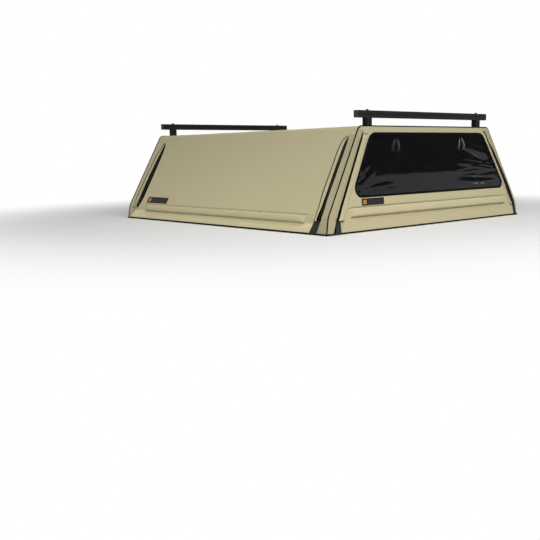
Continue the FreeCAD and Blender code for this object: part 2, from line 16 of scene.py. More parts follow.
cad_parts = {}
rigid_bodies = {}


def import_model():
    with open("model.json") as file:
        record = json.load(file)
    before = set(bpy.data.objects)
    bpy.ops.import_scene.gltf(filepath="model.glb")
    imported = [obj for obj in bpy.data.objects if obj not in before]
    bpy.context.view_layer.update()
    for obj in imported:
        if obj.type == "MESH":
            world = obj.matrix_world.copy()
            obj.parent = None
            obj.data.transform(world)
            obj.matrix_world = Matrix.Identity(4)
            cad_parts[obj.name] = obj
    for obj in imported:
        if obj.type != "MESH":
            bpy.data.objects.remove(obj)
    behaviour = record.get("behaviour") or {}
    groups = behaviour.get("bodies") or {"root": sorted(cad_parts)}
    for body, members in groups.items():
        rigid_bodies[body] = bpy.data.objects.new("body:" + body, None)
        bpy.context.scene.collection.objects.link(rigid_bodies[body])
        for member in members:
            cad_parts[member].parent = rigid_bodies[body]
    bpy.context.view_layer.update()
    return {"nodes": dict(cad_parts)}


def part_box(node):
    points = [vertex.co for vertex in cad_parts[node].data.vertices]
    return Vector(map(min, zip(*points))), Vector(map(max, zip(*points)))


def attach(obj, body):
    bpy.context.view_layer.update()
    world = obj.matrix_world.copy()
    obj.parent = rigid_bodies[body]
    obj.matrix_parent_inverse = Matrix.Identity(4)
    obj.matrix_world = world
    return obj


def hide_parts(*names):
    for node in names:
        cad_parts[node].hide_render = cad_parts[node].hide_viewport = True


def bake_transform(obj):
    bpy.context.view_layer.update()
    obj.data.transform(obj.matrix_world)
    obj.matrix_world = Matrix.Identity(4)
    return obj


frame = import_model()
LOG = logging.getLogger("canopy")

Point = tuple[float, float]
Line = Callable[[float], float]
Relief = Callable[[float, float], float]
Colour = tuple[float, float, float]
Box = tuple[float, float, float, float]
Piece = bpy.types.Object

FIXED = "canopy"
ROLL_STRAPS = (-0.316, 0.312)


# Small sums

def ease(low: float, high: float, value: float) -> float:
    """Goes smoothly from 0 at low to 1 at high, whichever of them is larger."""
    share = min(max((value - low) / (high - low), 0.0), 1.0)
    return share * share * (3.0 - 2.0 * share)


def steps(start: float, end: float, size: float, stops: Sequence[float] = ()) -> list[float]:
    """Divides a length into even steps that also land on some marks.

    Args:
        start: where the steps begin.
        end: where they end, larger than start.
        size: the wanted step.
        stops: marks between start and end that a step must land on.

    Returns:
        The marks in rising order.
    """
    marks = sorted({start, end, *(s for s in stops if start < s < end)})
    found = [marks[0]]
    for low, high in zip(marks, marks[1:]):
        count = max(1, round((high - low) / size))
        found += [low + (high - low) * k / count for k in range(1, count + 1)]
    return found


@dataclass(frozen=True)
class Run:
    """A line up a wall through a few stations, each a height and a place along the wall."""

    stations: tuple[Point, ...]

    def __call__(self, height: float) -> float:
        """Gives the place along the wall at a height, smoothly between the stations.

        Args:
            height: the height up the wall.

        Returns:
            The place along the wall.
        """
        marks = self.stations
        if height <= marks[0][0]:
            return marks[0][1]
        if height >= marks[-1][0]:
            return marks[-1][1]
        k = next(i for i in range(len(marks) - 1) if height <= marks[i + 1][0])
        (low, a), (high, b) = marks[k], marks[k + 1]
        rate = (b - a) / (high - low)
        before = (a - marks[k - 1][1]) / (low - marks[k - 1][0]) if k else rate
        after = (marks[k + 2][1] - b) / (marks[k + 2][0] - high) if k + 2 < len(marks) else rate
        share = (height - low) / (high - low)
        lean = (high - low) * ((before + rate) / 2 * (1 - share) - (after + rate) / 2 * share)
        bend = share * (1 - share)
        plain = a + (b - a) * share
        return plain + bend * (lean - (b - a) * (1 - 2 * share))

    def mirrored(self) -> "Run":
        """Gives the line on the other side of the middle."""
        return Run(tuple((h, -a) for h, a in self.stations))


# The shell that the cloth follows

@dataclass(frozen=True)
class Form:
    """Driving sizes of the cloth shell, as its solids have them, in metres."""

    base_half: float = 0.915
    knee_set: float = 0.018
    knee_height: float = 0.096
    knee_soft: float = 0.0016
    roof_half: float = 0.613
    roof_height: float = 0.585
    roof_radius: float = 0.035
    half_length: float = 1.017
    rear_knee_set: float = 0.005
    rear_roof_set: float = 0.044
    foot: float = 0.0104
    side_fold: float = 0.535
    rear_fold: float = 0.565
    skin: float = 0.0014

    def soft_least(self, a: float, b: float) -> float:
        """Gives the lesser of two reaches, eased over the crease at the knee."""
        return min(a, b) - self.knee_soft * math.log1p(math.exp(-abs(a - b) / self.knee_soft))

    def side_reach(self, height: float) -> float:
        """Gives the half width of the shell at a height below the rounded edge.

        Args:
            height: the height up the wall.

        Returns:
            The half width.
        """
        knee = self.base_half - self.knee_set
        band = self.base_half - self.knee_set * height / self.knee_height
        rate = (knee - self.roof_half) / (self.roof_height - self.knee_height)
        return self.soft_least(band, self.roof_half + (self.roof_height - height) * rate)

    def rear_reach(self, height: float) -> float:
        """Gives how far behind the middle the rear wall is at a height.

        Args:
            height: the height up the wall.

        Returns:
            The distance.
        """
        roof = self.half_length - self.rear_roof_set
        knee = self.half_length - self.rear_knee_set
        band = self.half_length - self.rear_knee_set * height / self.knee_height
        rate = (knee - roof) / (self.roof_height - self.knee_height)
        return self.soft_least(band, roof + (self.roof_height - height) * rate)

    def front_reach(self, height: float) -> float:
        """Gives how far before the middle the front wall is."""
        return self.half_length

    @property
    def side_turn(self) -> float:
        """The turn from roof to side wall, as an angle."""
        run = self.base_half - self.knee_set - self.roof_half
        return math.atan2(self.roof_height - self.knee_height, run)

    @property
    def edge_centre(self) -> Point:
        """Half width and height of the centre of the rounded roof edge."""
        cut = self.roof_radius * math.tan(self.side_turn / 2)
        return self.roof_half - cut, self.roof_height - self.roof_radius

    @property
    def edge_foot(self) -> float:
        """The height at which the rounded roof edge meets the side wall."""
        return self.edge_centre[1] + self.roof_radius * math.cos(self.side_turn)

    def outline_half(self, height: float) -> float:
        """Gives the half width of an end wall at a height, rounded at the roof.

        Args:
            height: the height up the wall.

        Returns:
            The half width.
        """
        if height < self.edge_foot:
            return self.side_reach(height)
        across, low = self.edge_centre
        rise = min(height - low, self.roof_radius)
        return across + math.sqrt(self.roof_radius ** 2 - rise ** 2)


class Surface(Protocol):
    """What cloth can lie on: it turns two places and a set into a point."""

    flips: bool

    def point(self, along: float, height: float, proud: float = 0.0) -> Vector:
        """Gives the point at a place on the surface, set out by proud."""


class Side(Enum):
    """The four walls, each with the name that its pieces start with."""

    LEFT = "left"
    RIGHT = "right"
    REAR = "rear"
    FRONT = "front"


@dataclass(frozen=True)
class Wall:
    """One wall of the shell: a place along it and a height give a point."""

    form: Form
    side: Side

    @property
    def flips(self) -> bool:
        """Whether faces drawn along and then up point inwards."""
        return self.side in (Side.LEFT, Side.FRONT)

    def reach(self, height: float) -> float:
        """Gives how far the wall is from the middle at a height.

        Args:
            height: the height up the wall.

        Returns:
            The distance.
        """
        if self.side is Side.REAR:
            return self.form.rear_reach(height)
        if self.side is Side.FRONT:
            return self.form.front_reach(height)
        return self.form.side_reach(height)

    def point(self, along: float, height: float, proud: float = 0.0) -> Vector:
        """Gives the point at a place on the wall, set out by proud.

        Args:
            along: the place along the wall.
            height: the height up the wall.
            proud: how far to set it out.

        Returns:
            The point.
        """
        probe = 0.0005
        slope = (self.reach(height + probe) - self.reach(height - probe)) / (2 * probe)
        length = math.hypot(1.0, slope)
        out = self.reach(height) + proud / length
        rise = height - proud * slope / length
        places = {
            Side.LEFT: (-out, along, rise),
            Side.RIGHT: (out, along, rise),
            Side.REAR: (along, -out, rise),
            Side.FRONT: (along, out, rise),
        }
        return Vector(places[self.side])


@dataclass(frozen=True)
class Corner:
    """The fold between a side wall and the rear wall: below 0 is the side, above 0 the rear."""

    form: Form
    hand: int

    @property
    def flips(self) -> bool:
        """Whether faces drawn along and then up point inwards."""
        return self.hand < 0

    def point(self, along: float, height: float, proud: float = 0.0) -> Vector:
        """Gives the point at a distance from the fold, set out by proud.

        Args:
            along: the distance from the fold.
            height: the height up the wall.
            proud: how far to set it out.

        Returns:
            The point.
        """
        side = Wall(self.form, Side.RIGHT if self.hand > 0 else Side.LEFT)
        rear = Wall(self.form, Side.REAR)
        if along < 0:
            return side.point(-rear.reach(height) - along, height, proud)
        return rear.point(self.hand * (side.reach(height) - along), height, proud)


@dataclass(frozen=True)
class RoofSpan:
    """The roof with its rounded edges: a place along it and a length across it."""

    form: Form
    flips: bool = True

    @property
    def flat(self) -> float:
        """Half width of the level part."""
        return self.form.edge_centre[0]

    @property
    def round(self) -> float:
        """Length of cloth round one edge."""
        return self.form.roof_radius * self.form.side_turn

    @property
    def reach(self) -> float:
        """Length of cloth from the middle to the fold of a side door."""
        drop = self.form.edge_foot - self.form.side_fold
        return self.flat + self.round + drop / math.sin(self.form.side_turn)

    def section(self, across: float, proud: float = 0.0) -> Point:
        """Gives the place across and the height at a length of cloth from the middle.

        Args:
            across: the length of cloth from the middle.
            proud: how far to set it out.

        Returns:
            The place across and the height.
        """
        side, length = math.copysign(1.0, across), abs(across)
        if length <= self.flat:
            return across, self.form.roof_height + proud
        centre, low = self.form.edge_centre
        turn = min((length - self.flat) / self.form.roof_radius, self.form.side_turn)
        out = self.form.roof_radius + proud
        over = max(length - self.flat - self.round, 0.0)
        x = centre + out * math.sin(turn) + over * math.cos(turn)
        z = low + out * math.cos(turn) - over * math.sin(turn)
        return side * x, z

    def point(self, along: float, height: float, proud: float = 0.0) -> Vector:
        """Gives the point at a place along the roof and a length across it."""
        x, z = self.section(height, proud)
        return Vector((x, along, z))


# Reliefs, which say how far cloth stands out at a place

def fade_ends(low: float, high: float, reach: float, value: float) -> float:
    """Gives 1 in the middle of a stretch and 0 at its two ends."""
    return ease(low, low + reach, value) * ease(high, high - reach, value)


def ripple(place: float, pitch: float, seed: float) -> float:
    """Gives an uneven wave between about 0 and 1, the same each time.

    Args:
        place: the place along a seam.
        pitch: the length of a wave.
        seed: a number that tells one seam from another.

    Returns:
        The wave's height.
    """
    drift = noise.noise(Vector((place * 9.0, seed, 0.3)))
    size = 0.65 + 0.7 * noise.noise(Vector((place * 23.0, seed, 5.1)))
    return size * (0.5 + 0.5 * math.sin(2 * math.pi * place / pitch + 5.0 * drift + seed))


@dataclass(frozen=True)
class Pucker:
    """Small folds that start square to a seam and die out away from it."""

    seam: Line
    depth: float = 0.0012
    pitch: float = 0.034
    reach: float = 0.03
    seed: float = 0.0
    level: bool = False

    def __call__(self, along: float, height: float) -> float:
        """Gives the height of the folds at a place.

        Args:
            along: the place along the wall.
            height: the height up the wall.

        Returns:
            How far it stands out there.
        """
        place, off = (along, height) if self.level else (height, along)
        gap = abs(off - self.seam(place))
        spread = 1.0 + 1.6 * gap / self.reach
        return self.depth * math.exp(-gap / self.reach) * ripple(place, self.pitch * spread, self.seed)


@dataclass(frozen=True)
class Swell:
    """The slow unevenness of a stretched panel."""

    depth: float = 0.0022
    size: float = 0.45
    seed: float = 0.0

    def __call__(self, along: float, height: float) -> float:
        """Gives the swell at a place."""
        here = Vector((along / self.size, height / self.size, self.seed))
        return self.depth * noise.noise(here) + 0.25 * self.depth * noise.noise(here * 3.7)


@dataclass(frozen=True)
class RodPocket:
    """The tube of cloth near a door's foot that holds a stiffening rod."""

    low: float
    high: float
    start: float
    end: float
    depth: float = 0.0120
    groove: float = 0.0034

    def __call__(self, along: float, height: float) -> float:
        """Gives the height of the ridge, with its drawn in ends and seams.

        Args:
            along: the place along the wall.
            height: the height up the wall.

        Returns:
            How far it stands out there.
        """
        pinch = 0.6 * noise.noise(Vector((along * 26.0, 2.0, height * 12.0)))
        ends = fade_ends(self.start, self.end, 0.030, along)
        share = (height - self.low) / (self.high - self.low)
        if not -0.6 < share < 1.6:
            return 0.0
        crown = max(0.0, math.sin(math.pi * min(max(share, 0.0), 1.0) ** 0.62)) ** 0.6
        sewn = math.exp(-((share - 1.04) * 17.0) ** 2) + math.exp(-((share + 0.06) * 9.0) ** 2)
        ridge = crown * ends * (1.0 + 0.10 * pinch)
        return self.depth * ridge - self.groove * sewn * ease(0.0, 0.2, ends)


@dataclass(frozen=True)
class Ridge:
    """A long fold in vinyl, whose flanks tilt the gloss up and down."""

    along: float
    height: float
    length: float
    width: float
    rise: float
    turn: float = 0.0

    def __call__(self, along: float, height: float) -> float:
        """Gives the height of the fold at a place.

        Args:
            along: the place along the wall.
            height: the height up the wall.

        Returns:
            How far it stands out there.
        """
        dx, dz = along - self.along, height - self.height
        cos, sin = math.cos(math.radians(self.turn)), math.sin(math.radians(self.turn))
        run, off = (dx * cos + dz * sin) / self.length, (dz * cos - dx * sin) / self.width
        if abs(run) > 1.0 or abs(off) > 4.0:
            return 0.0
        taper = (1.0 - run * run) ** 1.5
        return self.rise * taper * math.exp(-(off * off) / max(taper, 0.05) ** 0.6)


@dataclass(frozen=True)
class StrapMark:
    """Where a hanging strap loop presses on the vinyl from inside."""

    along: float
    height: float = 0.484
    wide: float = 0.024
    tall: float = 0.040
    edge: float = 0.0095
    rise: float = 0.0027

    def __call__(self, along: float, height: float) -> float:
        """Gives the height of the loop's outline, narrow at its top.

        Args:
            along: the place along the wall.
            height: the height up the wall.

        Returns:
            How far it stands out there.
        """
        dz = (height - self.height) / self.tall
        if abs(dz) > 1.5:
            return 0.0
        half = self.wide * math.sqrt(max(0.0, 1.0 - min(abs(dz), 1.0) ** 2)) * (1.0 - 0.45 * dz)
        off = abs(along - self.along - 0.12 * (self.height - height)) - half
        fade = ease(1.15, 0.85, dz) * ease(-1.1, -0.2, dz)
        return self.rise * math.exp(-(off / self.edge) ** 2) * fade


def total(parts: Sequence[Relief], fade: Relief | None = None) -> Relief:
    """Adds reliefs up.

    Args:
        parts: the reliefs.
        fade: a factor for their sum, such as one that is 0 at a shared edge.

    Returns:
        One relief.
    """
    def summed(along: float, height: float) -> float:
        """Gives the sum at a place."""
        amount = sum(part(along, height) for part in parts)
        return amount * fade(along, height) if fade else amount
    return summed


def flat(proud: float) -> Relief:
    """Gives a relief that is the same everywhere."""
    return lambda along, height: proud


def flat_line(along: float) -> Line:
    """Gives a line straight up a wall."""
    return lambda height: along


# Outlines of windows

@dataclass(frozen=True)
class Pane:
    """A window with level top and foot, leaning sides and round corners."""

    foot: float
    top: float
    left: Point
    right: Point
    radii: tuple[float, float, float, float]

    def corners(self, inset: float) -> list[Point]:
        """Gives the four corners of the outline moved in by inset, foot left first.

        Args:
            inset: how far each side moves in.

        Returns:
            The corners in order.
        """
        ends = []
        for foot, top in (self.left, self.right):
            rate = (foot - top) / (self.top - self.foot)
            side = inset * math.hypot(1.0, rate)
            ends.append((foot - side - rate * inset, top - side + rate * inset))
        low, high = self.foot + inset, self.top - inset
        (a, b), (c, d) = ends
        return [(-a, low), (c, low), (d, high), (-b, high)]

    @property
    def reach(self) -> float:
        """Half width that holds the whole outline."""
        return max(*self.left, *self.right)

    @cached_property
    def rounds(self) -> list[tuple[Point, float, Point, Point]]:
        """Each corner's centre and radius, with the outward directions of its two edges."""
        ring = self.corners(0.0)
        outs = []
        for (ax, ay), (bx, by) in zip(ring, ring[1:] + ring[:1]):
            size = math.hypot(bx - ax, by - ay)
            outs.append(((by - ay) / size, (ax - bx) / size))
        return [(self.corners(r)[k], r, outs[k - 1], outs[k]) for k, r in enumerate(self.radii)]

    def distance(self, point: Point, grow: float = 0.0) -> float:
        """Gives how far a point lies outside the outline, below 0 inside it.

        Args:
            point: a place on the wall.
            grow: how far the outline is first moved out.

        Returns:
            The distance.
        """
        best = -1e9
        for (x, y), radius, before, after in self.rounds:
            dx, dy = point[0] - x, point[1] - y
            if before[0] * dy - before[1] * dx > 0.0 and dx * after[1] - dy * after[0] > 0.0:
                return math.hypot(dx, dy) - radius - grow
            best = max(best, dx * after[0] + dy * after[1] - radius)
        return best - grow

    def outline(self, step: float) -> list[Point]:
        """Gives points round the outline at about even steps, starting at the foot.

        Args:
            step: the wanted step.

        Returns:
            The places in order.
        """
        found: list[Point] = []
        for (x, y), radius, before, after in self.rounds:
            first = math.atan2(before[1], before[0])
            turn = (math.atan2(after[1], after[0]) - first) % (2 * math.pi)
            count = max(6, round(radius * turn / step))
            arc = [first + turn * i / count for i in range(count + 1)]
            start = (x + radius * math.cos(first), y + radius * math.sin(first))
            found += self.between(found[-1], start, step) if found else []
            found += [(x + radius * math.cos(a), y + radius * math.sin(a)) for a in arc]
        return found + self.between(found[-1], found[0], step)

    @staticmethod
    def between(start: Point, end: Point, step: float) -> list[Point]:
        """Gives even places on a straight, without its two ends.

        Args:
            start: one end.
            end: the other end.
            step: the wanted step.

        Returns:
            The places from start to end.
        """
        (ax, ay), (bx, by) = start, end
        span = max(1, round(math.hypot(bx - ax, by - ay) / step))
        return [(ax + (bx - ax) * i / span, ay + (by - ay) * i / span) for i in range(1, span)]


# Cutting and sewing

def middle(points: Sequence[Point], face: Sequence[int]) -> Point:
    """Gives the middle of a face of a flat net."""
    return tuple(sum(points[i][axis] for i in face) / len(face) for axis in (0, 1))


@dataclass
class Pattern:
    """A cut piece of cloth: places on a surface and the faces between them."""

    points: list[Point]
    faces: list[tuple[int, ...]]

    @classmethod
    def lattice(
        cls, heights: Sequence[float], shares: Sequence[float], start: Line, end: Line
    ) -> "Pattern":
        """Lays a net between two lines.

        Args:
            heights: the heights of its rows.
            shares: the places of its columns, from 0 at start to 1 at end.
            start: the line where along is least.
            end: the line where along is greatest.

        Returns:
            The pattern.
        """
        points = [(start(h) + (end(h) - start(h)) * s, h) for h in heights for s in shares]
        wide = len(shares)
        faces = [
            (r * wide + c, r * wide + c + 1, (r + 1) * wide + c + 1, (r + 1) * wide + c)
            for r in range(len(heights) - 1)
            for c in range(wide - 1)
        ]
        return cls(points, faces)

    @classmethod
    def block(cls, heights: Sequence[float], start: float, end: float, step: float) -> "Pattern":
        """Lays a net between two upright lines, its columns a share of the width apart."""
        return cls.lattice(heights, steps(0.0, 1.0, step), flat_line(start), flat_line(end))

    def cut(self, outside: Callable[[Point], float], step: float) -> "Pattern":
        """Cuts away what lies where outside is below 0, with a smooth cut edge.

        Args:
            outside: distance from the cut line, above 0 on the side that stays.
            step: the largest side of the net's faces near the cut.

        Returns:
            The pattern that is left.
        """
        points = list(self.points)
        signs: list[int] = []
        probe = 1e-5
        for index, (x, y) in enumerate(self.points):
            gap = outside((x, y))
            if abs(gap) > step * 0.52:
                signs.append(1 if gap > 0 else -1)
                continue
            gx = (outside((x + probe, y)) - gap) / probe
            gy = (outside((x, y + probe)) - gap) / probe
            points[index] = (x - gap * gx, y - gap * gy)
            signs.append(0)
        faces = []
        for face in self.faces:
            kept = tuple(i for i in face if signs[i] >= 0)
            if len(kept) < 3:
                continue
            if not any(signs[i] > 0 for i in kept):
                if outside(middle(points, face)) < 0:
                    continue
            faces.append(kept)
        return Pattern(points, faces)

    def keep(self, test: Callable[[float, float], bool]) -> "Pattern":
        """Keeps the faces whose middle passes a test."""
        return Pattern(self.points, [face for face in self.faces if test(*middle(self.points, face))])

    def sew(self, name: str, surface: Surface, relief: Relief, skin: float) -> Piece:
        """Makes the piece, with its outer face on the surface.

        Args:
            name: the piece's name.
            surface: what it lies on.
            relief: how far it stands out.
            skin: its thickness, inwards.

        Returns:
            The piece, with a map of its flat places.
        """
        used = sorted({i for face in self.faces for i in face})
        order = {old: new for new, old in enumerate(used)}
        places = [self.points[i] for i in used]
        spots = [surface.point(a, h, relief(a, h)) for a, h in places]
        faces = [tuple(order[i] for i in face) for face in self.faces]
        if surface.flips:
            faces = [tuple(reversed(face)) for face in faces]
        piece = mesh_piece(name, spots, faces, places)
        if skin:
            add_skin(piece, skin)
        return piece


def mesh_piece(
    name: str, spots: Sequence[Vector], faces: Sequence[Sequence[int]], marks: Sequence[Point] = ()
) -> Piece:
    """Makes a smooth shaded object from points and faces and links it.

    Args:
        name: the piece's name.
        spots: its points.
        faces: its faces, each the numbers of its points.
        marks: where each point lies on the flat cloth, if it needs a map.

    Returns:
        The piece.
    """
    data = bpy.data.meshes.new(name)
    data.from_pydata([tuple(s) for s in spots], [], [tuple(f) for f in faces])
    data.validate()
    data.polygons.foreach_set("use_smooth", [True] * len(data.polygons))
    piece = bpy.data.objects.new(name, data)
    bpy.context.scene.collection.objects.link(piece)
    if marks:
        flat_map = data.uv_layers.new(name="cloth")
        for loop in data.loops:
            flat_map.data[loop.index].uv = marks[loop.vertex_index]
    return piece


def add_skin(piece: Piece, skin: float) -> None:
    """Gives a sheet its thickness, inwards, with a sharp rim.

    Args:
        piece: the sheet.
        skin: its thickness.
    """
    work = bmesh.new()
    work.from_mesh(piece.data)
    for edge in work.edges:
        edge.smooth = not edge.is_boundary
    work.to_mesh(piece.data)
    work.free()
    layer = piece.modifiers.new("skin", "SOLIDIFY")
    layer.thickness = skin
    layer.offset = -1.0


def ribbon(
    name: str,
    surface: Surface,
    path: Sequence[Point],
    profile: Sequence[Point],
    closed: bool = False,
    ring: bool = False,
    base: Relief | None = None,
) -> Piece:
    """Lays a strip along a path on a surface.

    Args:
        name: the piece's name.
        surface: what it lies on.
        path: places along the strip's line.
        profile: its section, each an offset to the left of the path and a set out.
        closed: whether the path joins its own start.
        ring: whether the section joins its own start.
        base: how far the cloth under the strip's line stands out.

    Returns:
        The piece, with a map of length and offset.
    """
    count, wide = len(path), len(profile)
    spots: list[Vector] = []
    marks: list[Point] = []
    gone = 0.0
    for k, (x, y) in enumerate(path):
        bx, by = path[k - 1] if closed or k else path[k]
        ax, ay = path[(k + 1) % count] if closed or k + 1 < count else path[k]
        size = math.hypot(ax - bx, ay - by)
        nx, ny = -(ay - by) / size, (ax - bx) / size
        gone += math.hypot(x - path[k - 1][0], y - path[k - 1][1]) if k else 0.0
        under = base(x, y) if base else 0.0
        for offset, proud in profile:
            spots.append(surface.point(x + nx * offset, y + ny * offset, under + proud))
            marks.append((gone, offset))
    faces = []
    for k in range(count if closed else count - 1):
        for c in range(wide if ring else wide - 1):
            a, b = k * wide + c, k * wide + (c + 1) % wide
            d, e = (k + 1) % count * wide + c, (k + 1) % count * wide + (c + 1) % wide
            faces.append((a, b, e, d) if surface.flips else (a, d, e, b))
    if ring and not closed:
        last = (count - 1) * wide
        caps = [tuple(range(wide)), tuple(last + c for c in reversed(range(wide)))]
        faces += caps if not surface.flips else [tuple(reversed(cap)) for cap in caps]
    return mesh_piece(name, spots, faces, marks)


def tube(name: str, path: Sequence[Vector], radius: float, sides: int = 10) -> Piece:
    """Makes a round tube along points, with closed ends.

    Args:
        name: the piece's name.
        path: points on its middle line.
        radius: its radius.
        sides: how many sides its section has.

    Returns:
        The tube.
    """
    count = len(path)
    spots: list[Vector] = []
    first = (path[1] - path[0]).normalized()
    across = first.orthogonal().normalized()
    for k, spot in enumerate(path):
        ahead = (path[min(k + 1, count - 1)] - path[max(k - 1, 0)]).normalized()
        across = (across - ahead * across.dot(ahead)).normalized()
        over = ahead.cross(across)
        for c in range(sides):
            angle = 2 * math.pi * c / sides
            spots.append(spot + (across * math.cos(angle) + over * math.sin(angle)) * radius)
    faces = []
    for k in range(count - 1):
        for c in range(sides):
            a, b = k * sides + c, k * sides + (c + 1) % sides
            faces.append((a, b, b + sides, a + sides))
    faces.append(tuple(reversed(range(sides))))
    faces.append(tuple((count - 1) * sides + c for c in range(sides)))
    return mesh_piece(name, spots, faces)


def pace(
    surface: Surface, path: Sequence[Point], pitch: float, proud: Relief, closed: bool = False
) -> list[Matrix]:
    """Walks a path in even steps.

    Args:
        surface: what the path lies on.
        path: places along it.
        pitch: the step.
        proud: how far each place stands out.
        closed: whether the path joins its own start.

    Returns:
        A placing for each step, with X along the path and Z out of the surface.
    """
    ring = list(path) + ([path[0]] if closed else [])
    spots = [surface.point(a, h, proud(a, h)) for a, h in ring]
    found: list[Matrix] = []
    left = pitch / 2
    for k in range(len(ring) - 1):
        step = spots[k + 1] - spots[k]
        length = step.length
        if length < 1e-9:
            continue
        a, h = ring[k]
        out = surface.point(a, h, 0.001) - surface.point(a, h, 0.0)
        ahead = step.normalized()
        up = (out - ahead * out.dot(ahead)).normalized()
        side = up.cross(ahead)
        turn = Matrix((ahead, side, up)).transposed().to_4x4()
        while left < length:
            found.append(Matrix.Translation(spots[k] + ahead * left) @ turn)
            left += pitch
        left -= length
    return found


def strew(name: str, model: Piece, places: Sequence[Matrix]) -> Piece:
    """Copies a small model to many places, as one joined mesh.

    Args:
        name: the piece's name.
        model: the model.
        places: a placing for each copy.

    Returns:
        The joined copies.
    """
    spots = [v.co.copy() for v in model.data.vertices]
    faces = [tuple(p.vertices) for p in model.data.polygons]
    smooth = [p.use_smooth for p in model.data.polygons]
    all_spots = [place @ spot for place in places for spot in spots]
    all_faces = [tuple(i + k * len(spots) for i in f) for k in range(len(places)) for f in faces]
    piece = mesh_piece(name, all_spots, all_faces)
    piece.data.polygons.foreach_set("use_smooth", smooth * len(places))
    return piece


# The bench, where hard pieces are shaped with operators

class Bench:
    """Short names for the operators that shape a hard piece."""

    @staticmethod
    def clear() -> None:
        """Deselects everything, the loaded nodes too."""
        for item in bpy.context.view_layer.objects:
            item.select_set(False)

    @classmethod
    def block(cls, name: str, size: Sequence[float], at: Sequence[float]) -> Piece:
        """Adds a box of a size round a point and opens it for editing.

        Args:
            name: the piece's name.
            size: its length along each axis.
            at: its middle.

        Returns:
            The piece, open in edit mode.
        """
        cls.clear()
        bpy.ops.mesh.primitive_cube_add(size=1.0, location=at)
        return cls.opened(name, size)

    @classmethod
    def disc(
        cls, name: str, radius: float, depth: float, at: Sequence[float], sides: int
    ) -> Piece:
        """Adds an upright cylinder round a point and opens it for editing.

        Args:
            name: the piece's name.
            radius: its radius.
            depth: its height.
            at: its middle.
            sides: how many sides it has.

        Returns:
            The piece, open in edit mode.
        """
        cls.clear()
        bpy.ops.mesh.primitive_cylinder_add(vertices=sides, radius=radius, depth=depth, location=at)
        return cls.opened(name, (1.0, 1.0, 1.0))

    @classmethod
    def opened(cls, name: str, size: Sequence[float]) -> Piece:
        """Names and sizes the new primitive, puts its place in its mesh and opens it.

        Args:
            name: the piece's name.
            size: a factor for each axis.

        Returns:
            The piece, open in edit mode.
        """
        piece = bpy.context.active_object
        piece.name = name
        piece.data.name = name
        piece.scale = size
        bpy.ops.object.transform_apply(location=True, rotation=True, scale=True)
        bpy.ops.object.mode_set(mode="EDIT")
        bpy.ops.mesh.select_all(action="DESELECT")
        return piece

    @staticmethod
    def pick(piece: Piece, test: Callable[[Vector, Vector], bool]) -> None:
        """Selects the faces whose middle and normal pass a test, and no others.

        Args:
            piece: the piece, open in edit mode.
            test: what a face's middle and normal have to pass.
        """
        bpy.ops.mesh.select_mode(type="FACE")
        bpy.ops.mesh.select_all(action="DESELECT")
        work = bmesh.from_edit_mesh(piece.data)
        for face in work.faces:
            face.select_set(test(face.calc_center_median(), face.normal))
        work.select_flush_mode()
        bmesh.update_edit_mesh(piece.data)

    @staticmethod
    def extrude(*by: float) -> None:
        """Extrudes the selected faces as one region."""
        bpy.ops.mesh.extrude_region_move(TRANSFORM_OT_translate={"value": by})

    @staticmethod
    def soften(offset: float, segments: int = 2) -> None:
        """Bevels every edge."""
        bpy.ops.mesh.select_all(action="SELECT")
        bpy.ops.mesh.bevel(offset=offset, segments=segments, affect="EDGES")

    @classmethod
    def join(cls, pieces: Sequence[Piece]) -> Piece:
        """Joins pieces into the first of them.

        Args:
            pieces: the pieces.

        Returns:
            The joined piece.
        """
        cls.clear()
        for piece in pieces:
            piece.select_set(True)
        bpy.context.view_layer.objects.active = pieces[0]
        bpy.ops.object.join()
        return pieces[0]

    @staticmethod
    def done(piece: Piece, angle: float = 40.0) -> Piece:
        """Closes the piece and shades it smooth below an angle in degrees.

        Args:
            piece: the piece, open in edit mode.
            angle: the angle.

        Returns:
            The piece.
        """
        bpy.ops.mesh.select_all(action="SELECT")
        bpy.ops.mesh.normals_make_consistent(inside=False)
        bpy.ops.object.mode_set(mode="OBJECT")
        bpy.ops.object.shade_smooth_by_angle(angle=math.radians(angle))
        piece.select_set(False)
        return piece


# Finishes

